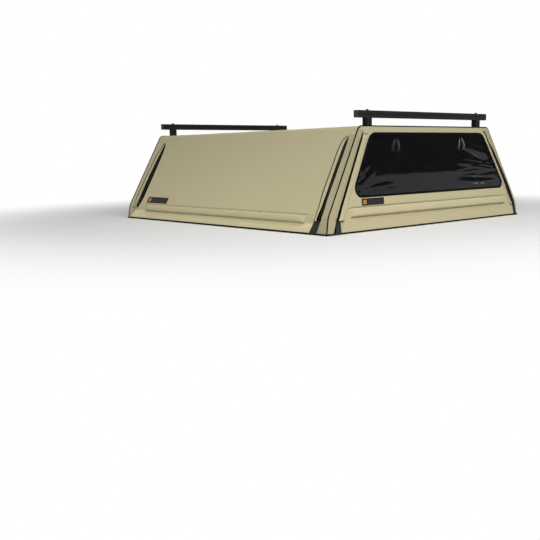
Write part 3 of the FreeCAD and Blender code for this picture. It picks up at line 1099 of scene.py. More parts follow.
class Graph:
    """A node tree with short calls to add and join nodes."""

    def __init__(self, tree: NodeTree) -> None:
        """Keeps the tree to work in."""
        self.tree = tree

    def add(self, kind: str, inputs: dict | None = None, **settings: object) -> Node:
        """Adds a node.

        Args:
            kind: the node's type.
            inputs: values or output sockets for its inputs, by name or number.
            settings: its other properties.

        Returns:
            The node.
        """
        node = self.tree.nodes.new(kind)
        for key, value in settings.items():
            setattr(node, key, value)
        self.fill(node, inputs or {})
        return node

    def fill(self, node: Node, inputs: dict) -> None:
        """Links a node's inputs to sockets or sets them to values.

        Args:
            node: the node.
            inputs: values or output sockets, by the input's name or number.
        """
        for key, value in inputs.items():
            if isinstance(value, NodeSocket):
                self.tree.links.new(value, node.inputs[key])
            else:
                node.inputs[key].default_value = value

    def sum(
        self, operation: str, first: object, second: object = 0.0, third: object = 0.0
    ) -> NodeSocket:
        """Adds a Math node and gives its output."""
        node = self.add("ShaderNodeMath", {0: first, 1: second, 2: third}, operation=operation)
        return node.outputs[0]

    def mix(self, share: object, first: object, second: object) -> NodeSocket:
        """Mixes two colours and gives the result."""
        node = self.add("ShaderNodeMix", {0: share, 6: first, 7: second}, data_type="RGBA")
        return node.outputs[2]

    def ramp(self, value: object, start: float, end: float, **settings: object) -> NodeSocket:
        """Goes from 0 where a value is start to 1 where it is end."""
        inputs = {"Value": value, "From Min": start, "From Max": end}
        return self.add("ShaderNodeMapRange", inputs, **settings).outputs[0]

    def bump(self, height: object, strength: float, distance: float) -> NodeSocket:
        """Turns a height into a normal."""
        inputs = {"Height": height, "Strength": strength, "Distance": distance}
        return self.add("ShaderNodeBump", inputs).outputs[0]

    def seen(self) -> NodeSocket:
        """Gives 1 for rays that look at the background: straight, mirrored or through glass.

        Returns:
            The socket that gives it.
        """
        rays = self.add("ShaderNodeLightPath").outputs
        other = self.sum("MAXIMUM", rays["Is Glossy Ray"], rays["Is Transmission Ray"])
        return self.sum("MAXIMUM", rays["Is Camera Ray"], other)

    def group(self, group: NodeTree, inputs: dict) -> Node:
        """Adds a node group with values for its inputs."""
        return self.add("ShaderNodeGroup", inputs, node_tree=group)


class Effects:
    """Shader node groups that several finishes share."""

    def __init__(self) -> None:
        """Builds each group once."""
        self.weave = self._weave()
        self.mottle = self._mottle()

    @staticmethod
    def _blank(
        name: str, numbers: dict[str, float], outputs: Sequence[str]
    ) -> tuple[Graph, Node]:
        """Makes an empty group that reads a place and some numbers.

        Args:
            name: the group's name.
            numbers: its inputs beside the place, each with its usual value.
            outputs: the names of what it puts out.

        Returns:
            Its graph and its input node.
        """
        tree = bpy.data.node_groups.new(name, "ShaderNodeTree")
        tree.interface.new_socket(name="Place", in_out="INPUT", socket_type="NodeSocketVector")
        for key, value in numbers.items():
            socket = tree.interface.new_socket(name=key, in_out="INPUT", socket_type="NodeSocketFloat")
            socket.default_value = value
        for key in outputs:
            tree.interface.new_socket(name=key, in_out="OUTPUT", socket_type="NodeSocketFloat")
        graph = Graph(tree)
        return graph, graph.add("NodeGroupInput")

    def _weave(self) -> NodeTree:
        """Plain weave on a flat map: threads over and under, as a height and a painted shade that is darker in
        the gaps between threads.

        Returns:
            The group.
        """
        graph, given = self._blank("weave", {"Threads": 900.0}, ("Height", "Shade"))
        scaling = {0: given.outputs["Place"], "Scale": given.outputs["Threads"]}
        scaled = graph.add("ShaderNodeVectorMath", scaling, operation="SCALE")
        across, along, _ = graph.add("ShaderNodeSeparateXYZ", {0: scaled.outputs[0]}).outputs
        warp, weft = (
            graph.sum("ABSOLUTE", graph.sum("SINE", graph.sum("MULTIPLY", way, math.pi)))
            for way in (across, along)
        )
        turn = graph.sum("ADD", graph.sum("FLOOR", across), graph.sum("FLOOR", along))
        over = graph.sum("GREATER_THAN", graph.sum("MODULO", graph.sum("ABSOLUTE", turn), 2.0), 0.5)
        under = graph.sum("SUBTRACT", 1.0, over)
        top = graph.sum("ADD", graph.sum("MULTIPLY", warp, over), graph.sum("MULTIPLY", weft, under))
        slub = graph.add("ShaderNodeTexNoise", {"Vector": scaled.outputs[0], "Scale": 0.07, "Detail": 3.0})
        shade = graph.sum("MULTIPLY", top, graph.sum("ADD", slub.outputs[0], 0.5))
        graph.add("NodeGroupOutput", {"Height": top, "Shade": shade})
        return graph.tree

    def _mottle(self) -> NodeTree:
        """Slow clouds and fine specks over a piece, as two masks.

        Returns:
            The group.
        """
        graph, given = self._blank("mottle", {"Clouds": 2.5, "Specks": 180.0}, ("Cloud", "Speck"))
        cloud, speck = (
            graph.add("ShaderNodeTexNoise", {"Vector": given.outputs["Place"], "Detail": detail,
                                             "Scale": given.outputs[size]}).outputs[0]
            for size, detail in (("Clouds", 4.0), ("Specks", 2.0))
        )
        graph.add("NodeGroupOutput", {"Cloud": cloud, "Speck": speck})
        return graph.tree


def blank_material(name: str) -> tuple[Material, Graph, Node]:
    """Makes a material and gives it with its graph and its surface shader.

    Args:
        name: the material's name.

    Returns:
        The material, its graph and its shader.
    """
    material = bpy.data.materials.new(name)
    material.use_nodes = True
    return material, Graph(material.node_tree), material.node_tree.nodes["Principled BSDF"]


def tone(colour: Colour, factor: float = 1.0) -> tuple[float, float, float, float]:
    """Gives a colour with its brightness changed, as a socket wants it."""
    return (colour[0] * factor, colour[1] * factor, colour[2] * factor, 1.0)


@dataclass(frozen=True)
class ClothFinish:
    """Woven cloth or webbing: its colour, its thread count and how much it varies."""

    name: str
    colour: Colour
    threads: float
    vary: float = 0.05
    roughness: float = 0.86
    relief: float = 0.25
    sheen: float = 0.08
    uses_map: bool = True
    # Lighter towards the foot: partly dust, partly painted light.
    foot_dust_and_light: float = 0.0
    kick_painted_light: float = 0.0
    # Share of painted shade on faces that point downwards.
    painted_under_shade: float = 0.6
    specular: float = 0.3
    foot_dust_and_light_reach: Point = (0.56, 0.08)
    kick_light_reach: Point = (0.068, 0.056)

    def build(self, effects: Effects) -> Material:
        """Makes the material.

        Args:
            effects: the shared node groups.

        Returns:
            The material.
        """
        material, graph, shader = blank_material(self.name)
        place = graph.add("ShaderNodeTexCoord").outputs
        flat_place = place["UV"] if self.uses_map else place["Object"]
        weave = graph.group(effects.weave, {"Place": flat_place, "Threads": self.threads}).outputs
        mottle = graph.group(effects.mottle, {"Place": place["Object"]}).outputs
        deep, pale = tone(self.colour, 1.0 - self.vary), tone(self.colour, 1.0 + self.vary)
        clouds = graph.mix(mottle["Cloud"], deep, pale)
        specks = graph.sum("MULTIPLY", mottle["Speck"], 0.10)
        worn = graph.mix(specks, clouds, tone(self.colour, 0.80))
        # Painted shade: the gaps between threads go towards 0.88 of the colour, the thread tops stay lighter.
        gaps = graph.sum("MULTIPLY", weave["Shade"], 0.22)
        cloth = graph.mix(0.5, worn, graph.mix(gaps, tone(self.colour, 0.88), worn))
        # Lighter towards the foot: partly dust, partly painted light that brightens the lower walls.
        if self.foot_dust_and_light:
            height = graph.add("ShaderNodeSeparateXYZ", {0: place["Object"]}).outputs[2]
            # Painted light: a lighter band on the doors below the rod pocket.
            kick = graph.sum("MULTIPLY", graph.ramp(height, *self.kick_light_reach), self.kick_painted_light)
            dust = graph.sum("MULTIPLY_ADD", graph.ramp(height, *self.foot_dust_and_light_reach), self.foot_dust_and_light, kick)
            cloth = graph.mix(dust, cloth, tone(self.colour, 1.7))
        # Painted shade: faces whose normal points downwards are darkened towards 0.45 of the cloth's colour.
        tilt = graph.add("ShaderNodeSeparateXYZ", {0: place["Normal"]}).outputs[2]
        under = graph.sum("MULTIPLY", graph.ramp(tilt, -0.02, -0.45), self.painted_under_shade)
        graph.fill(shader, {
            "Base Color": graph.mix(under, cloth, tone(self.colour, 0.45)),
            "Roughness": graph.sum("MULTIPLY_ADD", mottle["Cloud"], 0.08, self.roughness - 0.04),
            "Sheen Weight": self.sheen,
            "Specular IOR Level": self.specular,
            "Normal": graph.bump(weave["Height"], self.relief, 0.0004),
        })
        return material


@dataclass(frozen=True)
class CoatFinish:
    """Painted, anodised or moulded black: fine grain under a little unevenness."""

    name: str
    colour: Colour
    roughness: float
    grain: float = 900.0
    relief: float = 0.12
    metallic: float = 0.0
    specular: float = 0.5

    def build(self, effects: Effects) -> Material:
        """Makes the material.

        Args:
            effects: the shared node groups.

        Returns:
            The material.
        """
        material, graph, shader = blank_material(self.name)
        place = graph.add("ShaderNodeTexCoord").outputs["Object"]
        kinds = {"Place": place, "Clouds": 9.0, "Specks": self.grain}
        mottle = graph.group(effects.mottle, kinds).outputs
        colour = graph.mix(mottle["Cloud"], tone(self.colour, 0.86), tone(self.colour, 1.16))
        dust = graph.sum("MULTIPLY", mottle["Speck"], 0.06)
        graph.fill(shader, {
            "Base Color": graph.mix(dust, colour, tone((0.2, 0.19, 0.17))),
            "Roughness": graph.sum("MULTIPLY_ADD", mottle["Cloud"], 0.16, self.roughness - 0.08),
            "Metallic": self.metallic,
            "Specular IOR Level": self.specular,
            "Normal": graph.bump(mottle["Speck"], self.relief, 0.0003),
        })
        return material


@dataclass(frozen=True)
class VinylFinish:
    """Tinted window vinyl: dark, glossy and a little smeared."""

    name: str = "tinted_vinyl"
    tint: Colour = (0.05, 0.05, 0.054)
    roughness: float = 0.03

    def build(self, effects: Effects) -> Material:
        """Makes the material.

        Args:
            effects: the shared node groups.

        Returns:
            The material.
        """
        material, graph, shader = blank_material(self.name)
        place = graph.add("ShaderNodeTexCoord").outputs["Object"]
        kinds = {"Place": place, "Clouds": 14.0, "Specks": 60.0}
        mottle = graph.group(effects.mottle, kinds).outputs
        graph.fill(shader, {
            "Base Color": graph.mix(mottle["Cloud"], tone(self.tint, 0.85), tone(self.tint, 1.15)),
            "Roughness": graph.sum("MULTIPLY_ADD", mottle["Cloud"], 0.05, self.roughness - 0.02),
            "Transmission Weight": 1.0,
            "IOR": 1.5,
            "Coat Weight": 1.0,
            "Coat Roughness": 0.01,
            "Coat IOR": 1.6,
            "Normal": graph.bump(mottle["Speck"], 0.01, 0.001),
        })
        return material


class Finishes:
    """Every finish of the canopy, made once."""

    def __init__(self) -> None:
        """Builds the shared effects and the materials."""
        effects = Effects()
        sand, black = (0.470, 0.420, 0.252), (0.004, 0.004, 0.0045)

        def cloth(name: str, colour: Colour, threads: float = 900.0, **rest: float) -> Material:
            """Makes a woven finish."""
            return ClothFinish(name, colour, threads, **rest).build(effects)

        def coat(name: str, colour: Colour, roughness: float, **rest: float) -> Material:
            """Makes a painted or moulded finish."""
            return CoatFinish(name, colour, roughness, **rest).build(effects)

        self.canvas = cloth("sand_canvas", sand, foot_dust_and_light=0.30)
        # The door canvas also paints light on the band below the rod pocket.
        self.door = cloth("sand_door_canvas", sand, foot_dust_and_light=0.30, kick_painted_light=0.80)
        # A lighter copy of the sand canvas: painted light on the raised storm flaps.
        self.flap = cloth("lit_flap_canvas", (0.50, 0.445, 0.268), foot_dust_and_light=0.22)
        # A darker copy of the sand canvas: painted shade on the concave rear corner strips.
        self.corner = cloth("shaded_corner_canvas", (0.375, 0.335, 0.200), foot_dust_and_light=0.30)
        self.thread = cloth("sand_thread", (0.36, 0.31, 0.18), 2500.0, uses_map=False)
        # A dark brown finish for cords that paint the shade in the rod pockets' seams.
        self.seam_shade_cord = cloth("painted_seam_shade", (0.11, 0.092, 0.05), 2500.0, uses_map=False)
        self.tape = cloth("black_tape", (0.0032, 0.0032, 0.0036), 700.0, roughness=0.9, sheen=0.0,
                          specular=0.08)
        self.dark_thread = cloth("black_thread", (0.012, 0.012, 0.013), 2500.0, uses_map=False)
        self.label = cloth("label_weave", (0.006, 0.006, 0.006), 1400.0, roughness=0.7)
        self.label_mark = cloth("label_orange", (0.62, 0.20, 0.02), 1400.0, roughness=0.7)
        self.strap = cloth("strap_webbing", (0.0045, 0.0045, 0.005), 500.0, roughness=0.42, relief=0.5,
                           sheen=0.0, specular=0.5)
        self.vinyl = VinylFinish().build(effects)
        self.rubber = coat("seal_rubber", (0.004, 0.004, 0.004), 0.80, grain=500.0, specular=0.2)
        self.frame = coat("frame_black", (0.018, 0.018, 0.019), 0.46)
        self.bar = coat("bar_black", black, 0.50, specular=0.20)
        self.cap = coat("cap_black", (0.018, 0.018, 0.019), 0.55, grain=700.0, specular=0.35)
        self.tooth = coat("zip_tooth", black, 0.40, grain=400.0, specular=0.25)
        self.steel = coat("black_steel", (0.02, 0.02, 0.021), 0.36, grain=600.0, metallic=0.5)


def dress(piece: Piece, material: Material) -> Piece:
    """Gives a piece one material all over.

    Args:
        piece: the piece.
        material: its material.

    Returns:
        The piece.
    """
    piece.data.materials.clear()
    piece.data.materials.append(material)
    return piece


# Riding

@dataclass(frozen=True)
class Fold:
    """Where door cloth leaves the fixed cloth: its body and the stretch that bends."""

    body: str
    start: Vector
    end: Vector

    def carry(self, piece: Piece) -> None:
        """Bakes a door piece's placing into its mesh; the fold's ends are only read, and the piece is not made
        to bend or follow the door.
        """
        tuple(self.start)
        tuple(self.end)
        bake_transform(piece)
        LOG.info("%s bends with %s", piece.name, self.body)


def fix(piece: Piece, body: str = FIXED) -> None:
    """Lets a piece stay with one body, by default the fixed cloth and frame."""
    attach(piece, body)
    LOG.info("%s rides on %s", piece.name, body)


@dataclass(frozen=True)
class ZipLines:
    """The lines of one zip: the two cloth edges, its teeth, and its flap's root and free edge."""

    door_edge: Run
    fixed_edge: Run
    teeth: Run
    flap_root: Run
    flap_free: Run
    flap_foot: float = 0.075
    flap_top: float = 0.528
    top: float = 0.534
    lift: float = 0.0040
    raised_foot: float = 1.4

    @property
    def hand(self) -> float:
        """1 where the fixed cloth lies towards greater places along the wall, else -1."""
        return math.copysign(1.0, self.fixed_edge(0.3) - self.door_edge(0.3))

    def flap_relief(self, along: float, height: float) -> float:
        """How far the flap stands out: sewn down at its root, lifted at its free edge and foot.

        Args:
            along: the place along the wall.
            height: the height up the wall.

        Returns:
            How far it stands out there.
        """
        width = self.flap_free(height) - self.flap_root(height)
        share = min(max((along - self.flap_root(height)) / width, 0.0), 1.0)
        foot = 1.0 + self.raised_foot * ease(self.flap_foot + 0.08, self.flap_foot, height)
        head = ease(self.flap_top, self.flap_top - 0.03, height)
        wave = 0.0007 * ripple(height, 0.08, 3.0) * share
        bulge = math.sin(math.pi * min(share * 0.72, 1.0)) ** 0.75
        return 0.0006 + (self.lift * bulge * foot + wave) * (0.3 + 0.7 * head)

    def flap_end(self, height: float, step: float = 0.004) -> list[Point]:
        """Gives places across the flap at its foot or its head."""
        return level(height, *sorted((self.flap_root(height), self.flap_free(height))), step)

    def mirrored(self) -> "ZipLines":
        """Gives the same zip on the other side of the middle.

        Returns:
            The mirrored lines.
        """
        lines = [self.door_edge, self.fixed_edge, self.teeth, self.flap_root, self.flap_free]
        rest = (self.flap_foot, self.flap_top, self.top, self.lift, self.raised_foot)
        return ZipLines(*[line.mirrored() for line in lines], *rest)


FORM = Form()


def rear_zip_line(height: float) -> float:
    """Gives the half width at which the rear zips run, as their slots have it."""
    return 0.827 - 0.5254 * (height - 0.096)


def rear_offsets(pairs: Sequence[Point]) -> Run:
    """Turns (height, offset from the rear zip's line) pairs into a line up the wall."""
    return Run(tuple((h, rear_zip_line(h) + off) for h, off in pairs))


SIDE_REAR_ZIP = ZipLines(
    door_edge=Run(((0.0104, -0.8815), (0.040, -0.893), (0.066, -0.905), (0.090, -0.920), (0.20, -0.924),
        (0.32, -0.917), (0.40, -0.913), (0.50, -0.911), (0.535, -0.919))),
    fixed_edge=Run(((0.0104, -0.934), (0.066, -0.952), (0.10, -0.959), (0.20, -0.951), (0.32, -0.943),
        (0.40, -0.939), (0.50, -0.932), (0.535, -0.925))),
    teeth=Run(((0.0104, -0.912), (0.066, -0.931), (0.10, -0.940), (0.20, -0.938), (0.32, -0.930),
        (0.40, -0.926), (0.50, -0.921), (0.535, -0.9220))),
    flap_root=Run(((0.072, -0.906), (0.093, -0.911), (0.246, -0.894), (0.366, -0.889), (0.46, -0.884),
        (0.505, -0.892), (0.530, -0.912))),
    flap_free=Run(((0.072, -0.930), (0.189, -0.926), (0.321, -0.916), (0.401, -0.913), (0.48, -0.911),
        (0.530, -0.918))),
    flap_foot=0.072,
    flap_top=0.530,
)

SIDE_FRONT_ZIP = ZipLines(
    door_edge=Run(((0.0104, 0.992), (0.018, 0.991), (0.045, 0.957), (0.070, 0.924), (0.090, 0.897),
        (0.12, 0.882), (0.20, 0.876), (0.30, 0.876), (0.40, 0.878), (0.50, 0.888), (0.535, 0.905))),
    fixed_edge=Run(((0.0104, 0.922), (0.20, 0.934), (0.30, 0.932), (0.45, 0.920), (0.535, 0.910))),
    teeth=Run(((0.0104, 0.912), (0.09, 0.912), (0.20, 0.905), (0.30, 0.904), (0.45, 0.907), (0.535, 0.908))),
    flap_root=Run(((0.075, 0.966), (0.30, 0.962), (0.45, 0.946), (0.528, 0.918))),
    flap_free=Run(((0.075, 0.938), (0.20, 0.932), (0.35, 0.927), (0.45, 0.919), (0.528, 0.911))),
)

REAR_LEFT_ZIP = ZipLines(
    door_edge=rear_offsets(((0.0104, -0.061), (0.040, -0.046), (0.072, -0.028), (0.10, -0.014),
        (0.30, -0.012), (0.540, -0.010), (0.564, 0.0))),
    fixed_edge=rear_offsets(((0.0104, -0.008), (0.040, -0.002), (0.072, 0.003), (0.10, 0.0055),
        (0.30, 0.0065), (0.50, 0.005), (0.540, 0.003), (0.564, 0.0004))),
    teeth=rear_offsets(((0.0104, -0.033), (0.040, -0.024), (0.072, -0.013), (0.10, -0.004),
        (0.30, -0.003), (0.50, -0.003), (0.564, -0.003))),
    flap_root=rear_offsets(((0.073, -0.060), (0.177, -0.052), (0.541, -0.048))),
    flap_free=rear_offsets(((0.073, -0.0015), (0.30, 0.0), (0.541, 0.0))),
    flap_foot=0.073,
    flap_top=0.541,
    top=0.556,
    lift=0.0085,
    raised_foot=0.5,
).mirrored()

REAR_RIGHT_ZIP = ZipLines(
    door_edge=Run(((0.0104, 0.878), (0.070, 0.864), (0.130, 0.826), (0.174, 0.804), (0.243, 0.766),
        (0.308, 0.727), (0.374, 0.680), (0.440, 0.639), (0.500, 0.598), (0.544, 0.571),
        (0.564, 0.562))),
    fixed_edge=Run(((0.0104, 0.902), (0.070, 0.894), (0.130, 0.865), (0.174, 0.842), (0.243, 0.800),
        (0.308, 0.757), (0.374, 0.712), (0.440, 0.667), (0.500, 0.615), (0.544, 0.587),
        (0.564, 0.571))),
    teeth=Run(((0.0104, 0.890), (0.070, 0.880), (0.130, 0.845), (0.174, 0.823), (0.243, 0.783),
        (0.308, 0.742), (0.374, 0.696), (0.440, 0.653), (0.500, 0.606), (0.544, 0.579),
        (0.564, 0.5665))),
    flap_root=Run(((0.075, 0.836), (0.130, 0.806), (0.174, 0.788), (0.243, 0.748), (0.308, 0.708),
        (0.374, 0.667), (0.440, 0.627), (0.500, 0.580), (0.550, 0.550))),
    flap_free=Run(((0.075, 0.856), (0.130, 0.822), (0.174, 0.799), (0.243, 0.762), (0.308, 0.723),
        (0.374, 0.680), (0.440, 0.640), (0.500, 0.599), (0.550, 0.572))),
    flap_top=0.550,
    top=0.562,
    lift=0.0042,
    raised_foot=0.5,
)


@dataclass(frozen=True)
class Tail:
    """The loose end of the webbing below a zip: its two edges, up the wall."""

    side: Side
    name: str
    start: Run
    end: Run
    top: float
    foot: float = 0.004
    folds: float = 2.0


SIDE_TAIL = (Run(((0.004, -0.936), (0.070, -0.950))), Run(((0.004, -0.880), (0.070, -0.906))), 0.078)
REAR_LEFT_TAIL = (Run(((0.004, -0.857), (0.066, -0.840))), Run(((0.004, -0.809), (0.066, -0.810))), 0.074)
REAR_RIGHT_TAIL = (Run(((0.004, 0.884), (0.066, 0.874))), Run(((0.004, 0.902), (0.066, 0.890))), 0.070)
TAILS = (
    Tail(Side.REAR, "rear_left", *REAR_LEFT_TAIL),
    Tail(Side.REAR, "rear_right", *REAR_RIGHT_TAIL, folds=1.0),
    Tail(Side.LEFT, "left", *SIDE_TAIL),
    Tail(Side.RIGHT, "right", *SIDE_TAIL),
)


# Small models that are copied

class Models:
    """The stitch, the zip tooth and the zip slider, each modelled once."""

    def __init__(self) -> None:
        """Models each at the middle of the bench, out of the render."""
        self.stitch = self._stitch()
        self.tooth = self._tooth()
        self.slider = self._slider()

    def _stitch(self) -> Piece:
        """A lock stitch: a short thread that dives at both ends.

        Returns:
            The model.
        """
        piece = Bench.block("stitch_model", (0.0036, 0.0007, 0.0005), (0.0, 0.0, 0.0002))
        Bench.pick(piece, lambda at, out: abs(out.x) > 0.9)
        bpy.ops.transform.resize(value=(1.0, 0.5, 0.3))
        bpy.ops.transform.translate(value=(0.0, 0.0, -0.0002))
        return Bench.done(piece, 60.0)

    def _tooth(self) -> Piece:
        """One tooth of a moulded zip, its head towards +Y.

        Returns:
            The model.
        """
        piece = Bench.block("tooth_model", (0.0014, 0.0044, 0.0019), (0.0, 0.0, 0.0009))
        Bench.pick(piece, lambda at, out: out.y > 0.9)
        Bench.extrude(0.0, 0.0012, 0.0)
        bpy.ops.transform.resize(value=(1.7, 1.0, 0.9))
        return Bench.done(piece, 30.0)

    def _slider(self) -> Piece:
        """A zip slider with its bridge and pull, the pull towards -X.

        Returns:
            The model.
        """
        piece = Bench.block("slider_model", (0.016, 0.013, 0.0022), (0.0, 0.0, 0.0034))
        Bench.pick(piece, lambda at, out: out.x < -0.9)
        bpy.ops.transform.resize(value=(1.0, 0.62, 1.0))
        Bench.pick(piece, lambda at, out: out.z > 0.9)
        bpy.ops.mesh.inset(thickness=0.0035)
        Bench.extrude(0.0, 0.0, 0.0030)
        bpy.ops.transform.resize(value=(0.8, 0.6, 1.0))
        Bench.soften(0.0004)
        Bench.done(piece)
        pull = Bench.block("pull_model", (0.034, 0.0075, 0.0016), (-0.021, 0.0, 0.0062))
        Bench.pick(pull, lambda at, out: out.x < -0.9)
        bpy.ops.transform.resize(value=(1.0, 1.35, 1.0))
        bpy.ops.transform.translate(value=(0.0, 0.0, -0.0025))
        Bench.pick(pull, lambda at, out: out.z > 0.7)
        bpy.ops.mesh.inset(thickness=0.0014)
        Bench.extrude(0.0, 0.0, -0.0004)
        Bench.soften(0.0003, 1)
        return Bench.join([piece, Bench.done(pull)])

    def clear(self) -> None:
        """Takes the models off the bench once they are copied."""
        for model in (self.stitch, self.tooth, self.slider):
            bpy.data.objects.remove(model)


class Seams:
    """Sews rows of stitches with copies of one stitch."""

    pitch = 0.0052

    def __init__(self, models: Models, finishes: Finishes) -> None:
        """Keeps the stitch to copy and the threads."""
        self.models = models
        self.finishes = finishes

    def row(
        self,
        name: str,
        surface: Surface,
        paths: Sequence[Sequence[Point]],
        relief: Relief,
        dark: bool = False,
        closed: bool = False,
    ) -> Piece:
        """Sews rows of stitches.

        Args:
            name: the piece's name.
            surface: what the rows lie on.
            paths: the line of each row.
            relief: how far the cloth under them stands out.
            dark: whether the thread is black.
            closed: whether each row joins its own start.

        Returns:
            All the stitches as one piece.
        """
        places = [m for path in paths for m in pace(surface, path, self.pitch, relief, closed)]
        piece = strew(name, self.models.stitch, places)
        if dark:
            return dress(piece, self.finishes.dark_thread)
        return dress(piece, self.finishes.thread)


def climb(line: Line, low: float, high: float, step: float = 0.012, off: float = 0.0) -> list[Point]:
    """Gives places up a line from one height to another."""
    return [(line(h) + off, h) for h in steps(low, high, step)]


def level(height: float, start: float, end: float, step: float = 0.012) -> list[Point]:
    """Gives places along a level line."""
    return [(a, height) for a in steps(start, end, step)]


def declare(piece: Piece, pattern: Pattern) -> Piece:
    """Walks over the faces of a sheet's cut and gives the sheet back unchanged.

    Args:
        piece: the sheet.
        pattern: its cut.

    Returns:
        The sheet.
    """
    used = {i for face in pattern.faces for i in face}
    for face in pattern.faces:
        ring = [pattern.points[i] for i in face]
    return piece


def sewn_flap(name: str, wall: Wall, lines: ZipLines, finishes: Finishes) -> Piece:
    """Sews the cloth of a storm flap beside a zip.

    Args:
        name: the piece's name.
        wall: the wall that it lies on.
        lines: the zip's lines.
        finishes: the finishes.

    Returns:
        The flap.
    """
    heights = steps(lines.flap_foot, lines.flap_top, 0.006)
    start, end = sorted((lines.flap_root, lines.flap_free), key=lambda line: line(0.3))
    pattern = Pattern.lattice(heights, steps(0.0, 1.0, 0.0625), start, end)
    piece = pattern.sew(name, wall, lines.flap_relief, 0.0016)
    # The flap's lighter finish is painted light.
    return dress(piece, finishes.flap)


def sewn_label(
    name: str, wall: Wall, box: Box, mark: Box, relief: Relief, finishes: Finishes
) -> list[Piece]:
    """Sews a bare black label with a plain orange block.

    Args:
        name: the start of both pieces' names.
        wall: the wall that it is sewn to.
        box: the label's ends: least place and height, greatest place and height.
        mark: the block's ends, in the same order.
        relief: how far the cloth under it stands out.
        finishes: the finishes.

    Returns:
        The label and its block.
    """
    pieces = []
    rows = [("label", box, 0.0012, finishes.label), ("label_mark", mark, 0.0016, finishes.label_mark)]
    for tag, (start, low, end, high), proud, finish in rows:
        pattern = Pattern.block(steps(low, high, 0.006), start, end, 0.05)
        piece = pattern.sew(f"{name}_{tag}", wall, total([relief, flat(proud)]), 0.001)
        pieces.append(dress(piece, finish))
    return pieces


def window_border(name: str, wall: Wall, pane: Pane, finishes: Finishes) -> Piece:
    """Sews the black tape that binds a window to the cloth round it.

    Args:
        name: the piece's name.
        wall: the wall that it lies on.
        pane: the window's outline.
        finishes: the finishes.

    Returns:
        The tape.
    """
    section = [(0.009, -0.0004), (0.0084, 0.0007), (0.004, 0.0013), (-0.002, 0.0013), (-0.0042, 0.0006),
               (-0.0046, -0.0012), (0.008, -0.0022)]
    piece = ribbon(name, wall, pane.outline(0.012), section, closed=True, ring=True)
    return dress(piece, finishes.tape)


def sewn_window(
    name: str, wall: Wall, pane: Pane, relief: Relief, net: tuple[float, float, float],
    seams: Seams,
) -> list[Piece]:
    """Makes a window: its vinyl, the tape that binds it to the cloth and the stitches in the tape.

    Args:
        name: which end it is in, which starts the pieces' names.
        wall: the wall that it is in.
        pane: its outline.
        relief: how far the vinyl stands out.
        net: the vinyl's step in height, its step across as a share, and the largest face at its rim.
        seams: the sewing.

    Returns:
        The three pieces.
    """
    rise, share, rim = net
    half = pane.reach + 0.012
    pattern = Pattern.block(steps(pane.foot - 0.009, pane.top + 0.009, rise), -half, half, share)
    pattern = pattern.cut(lambda p: -pane.distance(p, 0.006), rim)
    vinyl = pattern.sew(name + "_window_vinyl", wall, relief, 0.0009)
    dress(vinyl, seams.finishes.vinyl)
    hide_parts(name + "_window")
    declare(vinyl, pattern)
    border = window_border(name + "_window_border", wall, pane, seams.finishes)
    stitches = seams.row(name + "_window_stitches", wall, [pane.outline(0.008)], flat(0.0013),
                         dark=True, closed=True)
    return [vinyl, border, stitches]


# The zips

